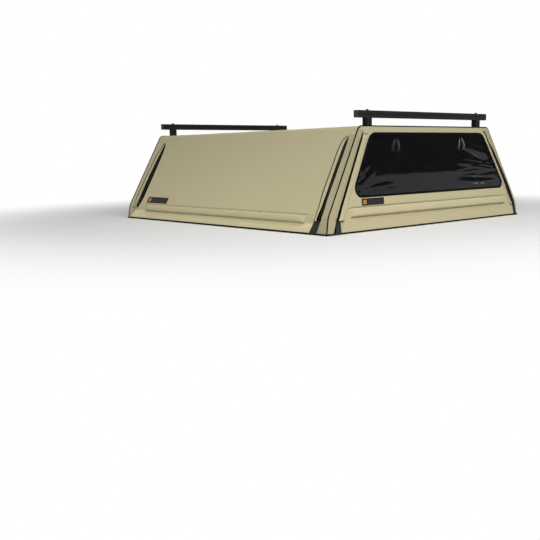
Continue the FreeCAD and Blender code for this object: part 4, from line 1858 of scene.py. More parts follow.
@dataclass
class ZipMaker:
    """Makes the two tapes, the teeth and the slider of a zip."""

    finishes: Finishes
    models: Models
    tuck: float = 0.010
    recess: float = -0.0021
    tooth_pitch: float = 0.0029

    def half(self, name: str, wall: Wall, lines: ZipLines, edge: Run) -> list[Piece]:
        """Makes the tape and the teeth along one cloth edge of a zip."""
        return [self.tape(name + "_tape", wall, lines, edge), self.teeth(name + "_teeth", wall, lines, edge)]

    def tape(self, name: str, wall: Wall, lines: ZipLines, edge: Run) -> Piece:
        """Makes one tape from under a cloth edge to the line of the teeth.

        Args:
            name: the piece's name.
            wall: the wall that the zip is in.
            lines: the zip's lines.
            edge: which of its cloth edges the tape is sewn under.

        Returns:
            The tape.
        """
        heights = steps(wall.form.foot, lines.top, 0.009)
        away = lines.hand if edge is lines.fixed_edge else -lines.hand

        def outer(height: float) -> float:
            """The tape's edge under the cloth."""
            least = lines.teeth(height) + away * 0.006
            return (max if away > 0 else min)(edge(height) + away * self.tuck, least)

        def inner(height: float) -> float:
            """The tape's edge at the teeth."""
            return lines.teeth(height) + away * 0.0008

        start, end = (outer, inner) if away < 0 else (inner, outer)
        pattern = Pattern.lattice(heights, steps(0.0, 1.0, 0.2), start, end)
        piece = pattern.sew(name, wall, flat(self.recess), 0.0008)
        return dress(piece, self.finishes.tape)

    def binding(
        self, name: str, wall: Wall, path: Sequence[Point], base: Relief, radius: float = 0.0024
    ) -> Piece:
        """Sews a thin black binding along a cloth edge.

        Args:
            name: the piece's name.
            wall: the wall that it lies on.
            path: the edge's line.
            base: how far the cloth at the edge stands out.
            radius: half the binding's thickness.

        Returns:
            The binding.
        """
        section = [(radius * math.cos(a), radius * math.sin(a) + 0.0002) for a in steps(0.0, 5.24, 1.05)]
        piece = ribbon(name, wall, path, section, ring=True, base=base)
        return dress(piece, self.finishes.tape)

    def pocket_seam_shadows(self, name: str, wall: Wall, pocket: RodPocket, base: Relief) -> list[Piece]:
        """Sews thin dark cords along the two seams of a rod pocket, as painted shade in the seams.

        Args:
            name: the start of both names.
            wall: the wall that it lies on.
            pocket: the rod pocket.
            base: how far the cloth under them stands out.

        Returns:
            The two cords.
        """
        # Dark cords laid in both seams paint the shade there.
        rows = [("upper", pocket.high + 0.0018, 0.018, 0.0011), ("lower", pocket.low - 0.0012, 0.004, 0.0008)]
        made = []
        for tag, height, over, radius in rows:
            path = level(height, pocket.start - over, pocket.end + over, 0.008)
            seam_shade_cord = self.binding(f"{name}_{tag}_pocket_seam_shade", wall, path, base, radius)
            made.append(dress(seam_shade_cord, self.finishes.seam_shade_cord))
        return made

    def tail(self, tail: Tail, form: Form) -> Piece:
        """Lets the end of the webbing hang out below a zip, with a fold or two along it.

        Args:
            tail: which end it is.
            form: the shell's sizes.

        Returns:
            The webbing.
        """
        heights = steps(tail.foot, tail.top, 0.003)
        pattern = Pattern.lattice(heights, steps(0.0, 1.0, 0.04), tail.start, tail.end)

        def relief(along: float, height: float) -> float:
            """Stands out in soft folds that open towards the foot.

            Args:
                along: the place along the wall.
                height: the height up the wall.

            Returns:
                How far it stands out there.
            """
            share = (along - tail.start(height)) / (tail.end(height) - tail.start(height))
            down = ease(tail.top, tail.foot, height)
            fold = abs(math.sin(math.pi * tail.folds * (share + 0.12 * down + 0.05))) ** 0.7
            curl = 0.0008 * noise.noise(Vector((along * 90.0, height * 60.0, 4.0)))
            return 0.0018 + (0.0020 + 0.0036 * down) * fold + curl * down

        piece = pattern.sew(tail.name + "_webbing_tail", Wall(form, tail.side), relief, 0.0013)
        return dress(piece, self.finishes.strap)

    def teeth(self, name: str, wall: Wall, lines: ZipLines, edge: Run) -> Piece:
        """Makes the row of teeth on one tape, their heads at the meeting line.

        Args:
            name: the piece's name.
            wall: the wall that it lies on.
            lines: the zip's lines.
            edge: which of the zip's cloth edges it is on.

        Returns:
            The row.
        """
        away = lines.hand if edge is lines.fixed_edge else -lines.hand
        path = climb(lines.teeth, wall.form.foot + 0.012, lines.top - 0.006, 0.006, away * 0.0021)
        places = pace(wall, path, self.tooth_pitch, flat(self.recess))
        shift = self.tooth_pitch / 2 if away > 0 else 0.0
        hand = wall.point(1.0, 0.3) - wall.point(0.0, 0.3)
        placed = []
        for place in places:
            heads = place.to_3x3() @ Vector((0.0, 1.0, 0.0))
            turn = math.pi if heads.dot(hand) * away > 0 else 0.0
            along = Matrix.Translation((shift, 0.0, 0.0))
            placed.append(place @ along @ Matrix.Rotation(turn, 4, "Z"))
        return dress(strew(name, self.models.tooth, placed), self.finishes.tooth)

    def slider(self, name: str, wall: Wall, lines: ZipLines, height: float) -> Piece:
        """Copies the slider to the foot of a zip, its pull hanging.

        Args:
            name: the piece's name.
            wall: the wall that it lies on.
            lines: the zip's lines.
            height: the height of its foot.

        Returns:
            The slider.
        """
        path = climb(lines.teeth, height, height + 0.02, 0.01)
        places = pace(wall, path, 0.02, flat(self.recess))[:1]
        return dress(strew(name, self.models.slider, places), self.finishes.steel)


# The studio

@dataclass(frozen=True)
class Studio:
    """The camera at the photograph's angle, a pale floor and plain soft light."""

    place: Point = (-3.863, -3.963)
    eye: float = 0.441
    yaw: float = 40.79
    pitch: float = 8.43
    roll: float = -1.06
    lens: float = 52.23
    floor_colour: Colour = (0.80, 0.80, 0.80)
    floor_radius: float = 60.0
    floor_fade: Point = (1.5, 3.4)
    world_light: float = 0.34
    card_radius: float = 11.0
    card_height: float = 4.4
    card_dark: Colour = (0.014, 0.014, 0.020)
    card_light: Colour = (1.0, 1.0, 1.03)
    card_foot_light: float = 0.20
    card_rim: Point = (-0.19, -0.21)
    card_lean: float = 0.117
    card_strip: Point = (1.12, 1.40)
    lamps: tuple[tuple[str, tuple[float, float, float], float, float], ...] = (
        ("key_lamp", (-0.8, -5.0, 3.4), 2.6, 118.0),
        ("fill_lamp", (-4.8, -1.0, 1.2), 2.2, 20.0),
        ("top_lamp", (-1.6, -2.2, 5.0), 2.6, 108.0),
    )

    def camera(self) -> None:
        """Sets the camera."""
        data = bpy.data.cameras.new("camera")
        data.lens = self.lens
        data.sensor_width = 36.0
        data.clip_end = 200.0
        camera = bpy.data.objects.new("camera", data)
        bpy.context.scene.collection.objects.link(camera)
        yaw, pitch, roll = (math.radians(v) for v in (self.yaw, self.pitch, self.roll))
        level_ahead = Vector((math.sin(yaw), math.cos(yaw), 0.0)) * math.cos(pitch)
        ahead = level_ahead - Vector((0.0, 0.0, math.sin(pitch)))
        right = Vector((math.cos(yaw), -math.sin(yaw), 0.0))
        over = right.cross(ahead)
        across = right * math.cos(roll) + over * math.sin(roll)
        up = over * math.cos(roll) - right * math.sin(roll)
        turn = Matrix((across, up, -ahead)).transposed().to_4x4()
        camera.matrix_world = Matrix.Translation((*self.place, self.eye)) @ turn
        bpy.context.scene.camera = camera

    def floor(self) -> None:
        """Lays a wide floor that goes white far from the canopy."""
        Bench.clear()
        bpy.ops.mesh.primitive_circle_add(vertices=96, radius=self.floor_radius, fill_type="NGON")
        floor = bpy.context.active_object
        floor.name = "floor"
        material, graph, shader = blank_material("pale_floor")
        graph.fill(shader, {"Base Color": tone(self.floor_colour), "Roughness": 0.9,
                            "Specular IOR Level": 0.1})
        place = graph.add("ShaderNodeTexCoord").outputs["Object"]
        far = graph.add("ShaderNodeVectorMath", {0: place}, operation="LENGTH").outputs["Value"]
        span = graph.ramp(far, *self.floor_fade, interpolation_type="SMOOTHSTEP")
        share = graph.sum("MULTIPLY", span, graph.seen())
        white = graph.add("ShaderNodeEmission", {"Color": tone((1.0, 1.0, 1.0)), "Strength": 1.0})
        mixed = graph.add("ShaderNodeMixShader", {0: share, 1: shader.outputs[0], 2: white.outputs[0]})
        graph.fill(graph.tree.nodes["Material Output"], {"Surface": mixed.outputs[0]})
        dress(floor, material)

    def dark_ring(self) -> None:
        """Stands a dark card round the studio that only shows in the windows' gloss."""
        Bench.clear()
        bpy.ops.mesh.primitive_cylinder_add(
            vertices=96, radius=self.card_radius, depth=self.card_height, end_fill_type="NOTHING",
            location=(0.0, 0.0, self.card_height / 2))
        ring = bpy.context.active_object
        ring.name = "dark_card"
        material, graph, shader = blank_material("dark_card")
        place = graph.add("ShaderNodeTexCoord").outputs["Object"]
        across, along, height = graph.add("ShaderNodeSeparateXYZ", {0: place}).outputs
        foot = graph.ramp(graph.sum("MULTIPLY_ADD", across, self.card_lean, height), *self.card_rim)
        turn = graph.sum("ARCTAN2", across, graph.sum("MULTIPLY", along, -1.0))
        after = graph.sum("GREATER_THAN", turn, self.card_strip[0])
        strip = graph.sum("MULTIPLY", after, graph.sum("LESS_THAN", turn, self.card_strip[1]))
        light = graph.sum("MAXIMUM", graph.sum("MULTIPLY", foot, self.card_foot_light), strip)
        graph.fill(shader, {
            "Base Color": tone((0.0, 0.0, 0.0)),
            "Specular IOR Level": 0.0,
            "Emission Color": graph.mix(light, tone(self.card_dark), tone(self.card_light)),
            "Emission Strength": 1.0,
        })
        dress(ring, material)
        for flag in ("camera", "diffuse", "transmission", "volume_scatter", "shadow"):
            setattr(ring, "visible_" + flag, False)

    def world(self) -> None:
        """Makes a white background and a soft even light."""
        world = bpy.data.worlds.new("studio")
        bpy.context.scene.world = world
        world.use_nodes = True
        graph = Graph(world.node_tree)
        strength = graph.sum("MULTIPLY_ADD", graph.seen(), 1.0 - self.world_light, self.world_light)
        shown = world.node_tree.nodes["Background"]
        graph.fill(shown, {"Color": tone((1.0, 1.0, 1.0)), "Strength": strength})

    def lamp(self, name: str, at: Sequence[float], size: float, power: float) -> None:
        """Hangs a soft square lamp that looks at the canopy.

        Args:
            name: the lamp's name.
            at: its place.
            size: the length of its sides.
            power: its power in watts.
        """
        data = bpy.data.lights.new(name, "AREA")
        data.shape = "SQUARE"
        data.size = size
        data.energy = power
        lamp = bpy.data.objects.new(name, data)
        bpy.context.scene.collection.objects.link(lamp)
        lamp.location = at
        lamp.rotation_mode = "QUATERNION"
        lamp.rotation_quaternion = (Vector((0.0, 0.0, 0.3)) - Vector(at)).to_track_quat("-Z", "Y")

    def build(self) -> None:
        """Sets the whole studio."""
        bpy.context.scene.view_settings.view_transform = "Standard"
        self.camera()
        self.world()
        self.floor()
        self.dark_ring()
        for lamp in self.lamps:
            self.lamp(*lamp)


# The sub-assemblies

@dataclass
class SideDoor:
    """One side door: its cloth, rod pocket, flaps, stitching, label and its half of each zip."""

    form: Form
    side: Side
    finishes: Finishes
    seams: Seams
    zips: ZipMaker
    pocket: RodPocket = RodPocket(0.060, 0.105, -0.8334, 0.7990, 0.0140)
    bend: float = 0.036
    label_box: Box = (0.562, 0.116, 0.810, 0.155)

    @property
    def name(self) -> str:
        """The start of each piece's name."""
        return self.side.value

    @property
    def wall(self) -> Wall:
        """The wall that the door closes."""
        return Wall(self.form, self.side)

    @property
    def fold(self) -> Fold:
        """The bend under the roof edge."""
        start = self.wall.point(0.0, self.form.side_fold)
        end = self.wall.point(0.0, self.form.side_fold - self.bend)
        return Fold(self.name + "_door", start, end)

    def relief(self) -> Relief:
        """How the door's cloth stands out.

        Returns:
            The relief of the whole door.
        """
        seed = 1.0 if self.side is Side.LEFT else 7.0
        shaped = total(
            [
                Swell(seed=seed),
                Pucker(SIDE_REAR_ZIP.door_edge, 0.0011, 0.040, 0.022, seed),
                Pucker(SIDE_FRONT_ZIP.door_edge, 0.0011, 0.037, 0.024, seed + 2),
                Pucker(lambda a: self.pocket.high, 0.0008, 0.055, 0.014, seed + 3, level=True),
                Pucker(lambda a: self.pocket.low, 0.0009, 0.050, 0.012, seed + 4, level=True),
            ],
            lambda a, h: ease(self.form.side_fold, self.form.side_fold - 0.05, h),
        )
        return total([shaped, self.pocket])

    def lifted(self, along: float, height: float) -> float:
        """The relief with the tongue at the front foot, which lies over the corner cloth."""
        over = ease(0.895, 0.915, along) * ease(0.10, 0.085, height)
        return self.relief()(along, height) + 0.0026 * over

    def cloth(self) -> Piece:
        """Cuts and sews the door's sheet with its rod pocket.

        Returns:
            The sheet.
        """
        form, pocket = self.form, self.pocket
        heights = steps(form.foot, pocket.low - 0.006, 0.010)
        heights += steps(pocket.low - 0.003, pocket.high + 0.006, 0.003)
        heights += steps(pocket.high + 0.012, form.side_fold, 0.010)
        shares = steps(0.0, 0.05, 0.0035) + steps(0.055, 0.945, 0.0062) + steps(0.95, 1.0, 0.0035)
        pattern = Pattern.lattice(heights, shares, SIDE_REAR_ZIP.door_edge, SIDE_FRONT_ZIP.door_edge)
        piece = pattern.sew(self.name + "_door_cloth", self.wall, self.lifted, form.skin)
        dress(piece, self.finishes.door)
        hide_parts(self.name + "_side_door", self.name + "_rod_pocket")
        return declare(piece, pattern)

    def flap(self, lines: ZipLines, name: str, node: str) -> list[Piece]:
        """Sews a storm flap that stands a little proud, and binds its root line and foot.

        Args:
            lines: the zip's lines.
            name: the flap's name, which starts the others.
            node: the solid that the flap stands for.

        Returns:
            The flap and its two bindings.
        """
        piece = sewn_flap(name, self.wall, lines, self.finishes)
        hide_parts(node)
        # The root binding is thickened to paint the shade beside the raised flap, and the binding across the
        # foot also paints the shadow under its open end.
        path = climb(lines.flap_root, lines.flap_foot, lines.flap_top)
        root_binding_and_shade = self.zips.binding(name + "_binding", self.wall, path, lines.flap_relief, 0.0034)
        foot = lines.flap_end(lines.flap_foot)
        hem = self.zips.binding(name + "_hem", self.wall, foot, lines.flap_relief)
        return [piece, root_binding_and_shade, hem]

    def label(self) -> None:
        """Sews the bare label near the door's front foot."""
        _, low, end, high = self.label_box
        mark = (end - 0.045, low + 0.008, end - 0.016, high - 0.008)
        for piece in sewn_label(self.name, self.wall, self.label_box, mark, self.relief(), self.finishes):
            fix(piece, self.name + "_door")

    def build(self) -> None:
        """Makes the door and bakes the placing of its pieces, which do not bend at its fold."""
        wall, pocket, relief = self.wall, self.pocket, self.relief()
        made = [self.cloth()]
        made += self.flap(SIDE_REAR_ZIP, self.name + "_rear_flap_cloth", self.name + "_rear_side_flap")
        for tag, lines in (("rear", SIDE_REAR_ZIP), ("front", SIDE_FRONT_ZIP)):
            made += self.zips.half(f"{self.name}_{tag}_door", wall, lines, lines.door_edge)
        made += self.zips.pocket_seam_shadows(self.name, wall, pocket, relief)
        tongue = climb(SIDE_FRONT_ZIP.door_edge, 0.018, 0.094, 0.004)
        made.append(self.zips.binding(self.name + "_tongue_binding", wall, tongue, self.lifted, 0.0017))
        rows = [
            level(pocket.high + 0.006, pocket.start, pocket.end),
            level(pocket.low - 0.005, pocket.start, pocket.end),
            climb(SIDE_REAR_ZIP.flap_root, 0.08, 0.50, off=0.004),
            climb(SIDE_REAR_ZIP.door_edge, 0.014, 0.068, off=0.006),
            climb(SIDE_FRONT_ZIP.door_edge, 0.02, 0.52, off=-0.006),
            level(self.form.foot + 0.013, -0.86, 0.96),
        ]
        made.append(self.seams.row(self.name + "_door_stitches", wall, rows, relief))
        for piece in made:
            self.fold.carry(piece)
        self.label()
        front = self.name + "_front"
        for piece in self.flap(SIDE_FRONT_ZIP, front + "_flap_cloth", front + "_side_flap"):
            fix(piece)


@dataclass
class RearDoor:
    """The rear door: its cloth, window, rod pocket, flaps, label and its half of each zip."""

    form: Form
    finishes: Finishes
    seams: Seams
    zips: ZipMaker
    pane: Pane = Pane(0.195, 0.547, (0.708, 0.526), (0.771, 0.548), (0.050, 0.030, 0.070, 0.075))
    pocket: RodPocket = RodPocket(0.087, 0.137, -0.7255, 0.7710)
    bend: float = 0.010
    label_box: Box = (-0.630, 0.147, -0.445, 0.186)
    marks: tuple[StrapMark, ...] = tuple(StrapMark(place) for place in ROLL_STRAPS)
    folds: tuple[Ridge, ...] = (
        Ridge(0.480, 0.446, 0.225, 0.034, 0.0021, -13.0),
        Ridge(0.480, 0.396, 0.190, 0.0055, -0.0010, -19.0),
        Ridge(0.490, 0.468, 0.200, 0.0055, 0.0010, -9.0),
        Ridge(0.480, 0.352, 0.270, 0.018, 0.0007, -4.0),
        Ridge(0.490, 0.373, 0.230, 0.0050, 0.0008, -6.0),
        Ridge(0.520, 0.330, 0.160, 0.006, 0.0006, -6.0),
        Ridge(0.480, 0.241, 0.240, 0.017, 0.0010, -2.0),
        Ridge(0.470, 0.268, 0.230, 0.0050, -0.0008, -3.0),
        Ridge(0.560, 0.216, 0.150, 0.007, 0.0005, 2.0),
        Ridge(-0.450, 0.250, 0.120, 0.011, 0.0009, 5.0),
        Ridge(-0.400, 0.231, 0.110, 0.006, 0.0005, 2.0),
        Ridge(-0.560, 0.300, 0.080, 0.009, 0.0008, 30.0),
        Ridge(-0.585, 0.350, 0.060, 0.008, 0.0011, 24.0),
        Ridge(-0.600, 0.325, 0.050, 0.006, 0.0008, 38.0),
        Ridge(-0.430, 0.205, 0.120, 0.008, 0.0006, 3.0),
    )

    @property
    def wall(self) -> Wall:
        """The wall that the door closes."""
        return Wall(self.form, Side.REAR)

    @property
    def fold(self) -> Fold:
        """The bend under the roof's rear edge."""
        start = self.wall.point(0.0, self.form.rear_fold)
        end = self.wall.point(0.0, self.form.rear_fold - self.bend)
        return Fold("rear_hatch", start, end)

    def relief(self) -> Relief:
        """How the door's cloth stands out.

        Returns:
            The relief of the whole door.
        """
        shaped = total(
            [
                Swell(0.0018, 0.4, 21.0),
                Pucker(REAR_LEFT_ZIP.flap_root, 0.0012, 0.045, 0.02, 1.7),
                Pucker(REAR_RIGHT_ZIP.door_edge, 0.0010, 0.041, 0.02, 4.2),
                Pucker(lambda a: self.pocket.high, 0.0008, 0.06, 0.014, 2.9, level=True),
                Pucker(lambda a: self.pocket.low, 0.0009, 0.055, 0.012, 6.3, level=True),
            ],
            lambda a, h: ease(self.form.rear_fold, self.form.rear_fold - 0.03, h),
        )

        def calmed(along: float, height: float) -> float:
            """Calms the cloth beside the window's stiff tape."""
            away = ease(0.0, 0.03, self.pane.distance((along, height)))
            return shaped(along, height) * (0.25 + 0.75 * away)

        return total([calmed, self.pocket])

    def cloth(self) -> Piece:
        """Cuts and sews the sheet round the window.

        Returns:
            The sheet.
        """
        form, pocket = self.form, self.pocket
        heights = steps(form.foot, pocket.low - 0.006, 0.009)
        heights += steps(pocket.low - 0.003, pocket.high + 0.006, 0.003)
        heights += steps(pocket.high + 0.012, form.rear_fold, 0.0075)
        shares = steps(0.0, 1.0, 0.0056)
        pattern = Pattern.lattice(heights, shares, REAR_LEFT_ZIP.door_edge, REAR_RIGHT_ZIP.door_edge)
        pattern = pattern.cut(lambda p: self.pane.distance(p, 0.002), 0.0098)
        piece = pattern.sew("rear_door_cloth", self.wall, self.relief(), form.skin)
        dress(piece, self.finishes.canvas)
        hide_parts("rear_door", "rear_rod_pocket")
        return declare(piece, pattern)

    def flaps(self) -> list[Piece]:
        """Sews the storm flap beside each zip.

        Returns:
            The flaps and their bindings.
        """
        made = []
        for tag, lines in (("left", REAR_LEFT_ZIP), ("right", REAR_RIGHT_ZIP)):
            name = f"rear_{tag}_flap_cloth"
            piece = sewn_flap(name, self.wall, lines, self.finishes)
            made.append(piece)
            # The binding across each flap's foot also paints the shadow under its open end.
            trims = [("head", lines.flap_end(lines.flap_top, 0.012), 0.0011),
                     ("binding", climb(lines.flap_free, lines.flap_foot, lines.flap_top), 0.0032),
                     ("hem", lines.flap_end(lines.flap_foot), 0.0024)]
            for part, path, radius in trims:
                made.append(self.zips.binding(f"{name}_{part}", self.wall, path, lines.flap_relief, radius))
        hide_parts("rear_door_flaps")
        return made

    def pane_relief(self, along: float, height: float) -> float:
        """How the vinyl stands out: nearly flat, folded at the corners and where straps press on it.

        Args:
            along: the place along the wall.
            height: the height up the wall.

        Returns:
            How far it stands out there.
        """
        depth = -self.pane.distance((along, height))
        inner = ease(0.004, 0.045, depth)
        calm = 0.00009 * noise.noise(Vector((along * 8.0, height * 6.0, 3.3)))
        calm += 0.00006 * noise.noise(Vector((along * 19.0, height * 9.0, 6.1)))
        rim = 0.0009 * ease(0.05, 0.0, depth) * noise.noise(Vector((along * 30.0, height * 30.0, 1.9)))
        left = ease(-0.50, -0.66, along) * ease(0.38, 0.30, height)
        crumple = 0.0010 * left * noise.noise(Vector((along * 26.0, height * 40.0, 7.7)))
        right = ease(0.20, 0.36, along) * ease(0.36, 0.31, height)
        drag = 0.00042 * right * noise.noise(Vector((along * 5.0, (height - 0.06 * along) * 55.0, 2.2)))
        folds = sum(fold(along, height) for fold in self.folds)
        straps = sum(mark(along, height) for mark in self.marks)
        return -0.0008 + inner * (calm + folds + straps + drag) + crumple + rim

    def label(self) -> list[Piece]:
        """Sews the bare label under the window's left end.

        Returns:
            The label and its block.
        """
        start, low, _, high = self.label_box
        mark = (start + 0.012, low + 0.008, start + 0.038, high - 0.008)
        return sewn_label("rear", self.wall, self.label_box, mark, self.relief(), self.finishes)

    def build(self) -> None:
        """Makes the door and bakes the placing of its pieces, which do not bend at its fold."""
        wall, pocket, relief = self.wall, self.pocket, self.relief()
        made = [self.cloth(), *self.flaps()]
        made += sewn_window("rear", wall, self.pane, self.pane_relief, (0.0042, 0.0030, 0.0045),
                            self.seams)
        for tag, lines in (("left", REAR_LEFT_ZIP), ("right", REAR_RIGHT_ZIP)):
            made += self.zips.half(f"rear_{tag}_door", wall, lines, lines.door_edge)
        made += self.zips.pocket_seam_shadows("rear", wall, pocket, relief)
        rows = [
            level(pocket.high + 0.006, pocket.start, pocket.end),
            level(pocket.low - 0.005, pocket.start, pocket.end),
            level(self.form.foot + 0.013, -0.80, 0.86),
            climb(REAR_LEFT_ZIP.flap_root, 0.08, 0.54, off=0.004),
            climb(REAR_RIGHT_ZIP.flap_root, 0.08, 0.54, off=-0.004),
        ]
        made.append(self.seams.row("rear_door_stitches", wall, rows, relief))
        made += self.label()
        for piece in made:
            self.fold.carry(piece)


@dataclass
class Shell:
    """The cloth that stays: roof, header band, corners and front wall, with their zip halves."""

    form: Form
    finishes: Finishes
    seams: Seams
    zips: ZipMaker
    front_pane: Pane = Pane(0.225, 0.500, (0.6215, 0.462), (0.6215, 0.462), (0.055,) * 4)
    post_half: float = 0.0195
    piping_set: float = 0.0026
    piping_radius: float = 0.0041
    bows: tuple[float, ...] = (-0.973, -0.48, 0.0, 0.48, 1.017)

    def roof_relief(self, along: float, across: float) -> float:
        """Lets the roof sag a little between the bows and pull at the edges.

        Args:
            along: the place along the roof.
            across: the length of cloth from the middle.

        Returns:
            How far it stands out there.
        """
        span = RoofSpan(self.form)
        index = next((k for k in range(len(self.bows) - 1) if along <= self.bows[k + 1]), len(self.bows) - 2)
        low, high = self.bows[index], self.bows[index + 1]
        share = min(max((along - low) / (high - low), 0.0), 1.0)
        inner = ease(span.flat, span.flat - 0.25, abs(across))
        sag = -0.0050 * math.sin(math.pi * share) ** 1.3 * inner
        wave = Swell(0.0016, 0.3, 31.0)(along, across) * ease(span.reach, span.reach - 0.05, abs(across))
        ends = fade_ends(self.bows[0], self.bows[-1], 0.06, along)
        return (sag + wave) * ends

    def roof(self) -> None:
        """Sews the roof from one side fold to the other, with holes for the bar posts."""
        form, span = self.form, RoofSpan(self.form)
        round_steps = steps(span.flat, span.flat + span.round, 0.0035)
        drop_steps = steps(span.flat + span.round, span.reach, 0.009)
        half = steps(0.0, span.flat, 0.013)[:-1] + round_steps + drop_steps[1:]
        across = [-v for v in reversed(half[1:])] + half

        def rear_end(length: float) -> float:
            """The sheet's rear edge, on the leaning rear wall."""
            return -form.rear_reach(span.section(length)[1])

        pattern = Pattern.lattice(across, steps(0.0, 1.0, 0.0062), rear_end, flat_line(form.half_length))
        posts = [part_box(f"{hand}_{end}_bar_post") for hand in ("left", "right") for end in ("rear", "front")]
        middles = [((low.y + high.y) / 2, (low.x + high.x) / 2) for low, high in posts]

        def outside(place: Point) -> float:
            """Distance from the nearest post's hole."""
            return min(max(abs(place[0] - a), abs(place[1] - x)) - self.post_half for a, x in middles)

        pattern = pattern.cut(outside, 0.0125)
        piece = pattern.sew("roof_cloth", span, self.roof_relief, form.skin)
        dress(piece, self.finishes.canvas)
        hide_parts("roof_skin")
        fix(declare(piece, pattern))
        rows = [row for bow in self.bows[1:-1] for row in self.bow_rows(bow, span)]
        rows += [[(y, s * (span.flat - 0.004)) for y in steps(-0.955, 1.0, 0.012)] for s in (-1, 1)]
        fix(self.seams.row("roof_stitches", span, rows, self.roof_relief))

    def bow_rows(self, bow: float, span: RoofSpan) -> list[list[Point]]:
        """Gives the two rows of stitches of a bow's sleeve."""
        across = steps(-span.flat + 0.02, span.flat - 0.02, 0.012)
        return [[(bow + off, s) for s in across] for off in (-0.024, 0.024)]

    def rear_header(self) -> None:
        """Sews the band between the rear door's fold and the roof."""
        form = self.form
        heights = steps(form.rear_fold, form.edge_foot, 0.002)
        heights += steps(form.edge_foot, form.roof_height, 0.0015)[1:]
        pattern = self.end_net(heights, 0.01)
        piece = pattern.sew("rear_header_cloth", Wall(form, Side.REAR), flat(0.0), form.skin)
        fix(dress(piece, self.finishes.canvas))

    def end_net(self, heights: Sequence[float], share: float) -> Pattern:
        """Lays a net over an end wall from edge to edge, its columns a share of the width apart."""
        half = self.form.outline_half
        return Pattern.lattice(heights, steps(0.0, 1.0, share), lambda h: -half(h), half)

    def corner_relief(self, along: float, height: float) -> float:
        """Draws the corner cloth in between its seams.

        Args:
            along: the place along the wall.
            height: the height up the wall.

        Returns:
            How far it stands out there.
        """
        off = fade_ends(0.0, 0.10, 0.02, abs(along))
        slack = 0.0012 * noise.noise(Vector((along * 12.0, height * 7.0, 2.0)))
        drift = 0.004 * noise.noise(Vector((along * 30.0, 3.0, 8.0)))
        crease = 0.0030 * math.exp(-((height - 0.079 - drift) / 0.0065) ** 2)
        return off * (slack + 0.0004 * ripple(height, 0.05, 9.0) - crease)

    def rear_corner(self, hand: int) -> None:
        """Sews one rear corner, round the fold from the side zip to the rear zip.

        Args:
            hand: 1 for the right corner, -1 for the left.
        """
        form = self.form
        name = "right" if hand > 0 else "left"
        lines = REAR_RIGHT_ZIP if hand > 0 else REAR_LEFT_ZIP

        def side_edge(height: float) -> float:
            """The cloth's edge at the side zip, as a distance from the fold."""
            return -(SIDE_REAR_ZIP.fixed_edge(min(height, form.side_fold)) + form.rear_reach(height))

        def rear_edge(height: float) -> float:
            """The cloth's edge at the rear zip, as a distance from the fold."""
            return form.side_reach(height) - abs(lines.fixed_edge(height))

        heights = steps(form.foot, form.rear_fold, 0.009, [form.side_fold])
        shares = steps(-1.0, 1.0, 0.1)
        points = [((-side_edge(h) if s < 0 else rear_edge(h)) * s, h) for h in heights for s in shares]
        net = Pattern.lattice(heights, shares, flat_line(0.0), flat_line(1.0))
        pattern = Pattern(points, net.faces).keep(lambda a, h: a > 0 or h < form.side_fold)
        piece = pattern.sew(name + "_rear_corner_cloth", Corner(form, hand), self.corner_relief, form.skin)
        # The corner cloth's darker finish is painted shade.
        dress(piece, self.finishes.corner)
        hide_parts(name + "_rear_corner_skin")
        fix(declare(piece, pattern))
        rows = [climb(side_edge, 0.02, 0.51, off=0.006), climb(rear_edge, 0.02, 0.54, off=-0.006)]
        fix(self.seams.row(name + "_rear_corner_stitches", Corner(form, hand), rows, self.corner_relief))

    def front_corner(self, side: Side) -> None:
        """Sews one front corner, from the side zip to the front wall.

        Args:
            side: which side wall it is on.
        """
        form, name = self.form, side.value + "_front_corner"
        pattern = Pattern.lattice(steps(form.foot, form.side_fold, 0.009), steps(0.0, 1.0, 0.1),
                                  SIDE_FRONT_ZIP.fixed_edge, flat_line(form.half_length))

        def relief(along: float, height: float) -> float:
            """The corner's relief, measured from the front wall."""
            return self.corner_relief(form.half_length - along, height)

        piece = pattern.sew(name + "_cloth", Wall(form, side), relief, form.skin)
        dress(piece, self.finishes.canvas)
        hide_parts(name + "_skin")
        fix(declare(piece, pattern))

    def front_wall(self) -> None:
        """Sews the front wall with its window."""
        form, wall, pane = self.form, Wall(self.form, Side.FRONT), self.front_pane
        heights = steps(form.foot, form.edge_foot, 0.009)
        heights += steps(form.edge_foot, form.roof_height, 0.003)[1:]
        pattern = self.end_net(heights, 0.005).cut(lambda p: pane.distance(p, 0.002), 0.0098)

        def edges(along: float, height: float) -> float:
            """Fades to 0 at the wall's edges."""
            half = form.outline_half(height)
            return fade_ends(form.foot, form.roof_height, 0.03, height) * ease(half, half - 0.03, abs(along))

        def waves(along: float, height: float) -> float:
            """The slow waves of the window's vinyl."""
            return -0.0008 + ease(0.0, 0.05, -pane.distance((along, height))) * vinyl_swell(along, height)

        swell, vinyl_swell = total([Swell(0.0018, 0.4, 41.0)], edges), Swell(0.003, 0.2, 51.0)
        piece = pattern.sew("front_wall_cloth", wall, swell, form.skin)
        dress(piece, self.finishes.canvas)
        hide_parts("front_panel")
        fix(declare(piece, pattern))
        for part in sewn_window("front", wall, pane, waves, (0.006, 0.005, 0.0066), self.seams):
            fix(part)
        rows = [level(form.foot + 0.013, -0.885, 0.885), level(0.549, -0.61, 0.61)]
        fix(self.seams.row("front_wall_stitches", wall, rows, swell))

    def piping(self) -> None:
        """Runs a black piping up, over and down the edge of each end wall."""
        form, span = self.form, RoofSpan(self.form)
        for tag, reach, out in (("rear", form.rear_reach, -1.0), ("front", form.front_reach, 1.0)):
            rising = steps(form.foot + 0.001, form.edge_foot, 0.010, [form.knee_height])
            places = [(form.side_reach(height), height) for height in rising]
            over = reversed(steps(0.0, span.flat + span.round, 0.012, [span.flat])[:-1])
            places += [span.section(length) for length in over]
            path = [Vector((x, out * (reach(z) - self.piping_set), z)) for x, z in places]
            mirror = [Vector((-p.x, p.y, p.z)) for p in reversed(path[:-1])]
            piece = tube(tag + "_piping", path + mirror, self.piping_radius)
            dress(piece, self.finishes.tape)
            if tag == "rear":
                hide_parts("edge_piping")
            fix(piece)

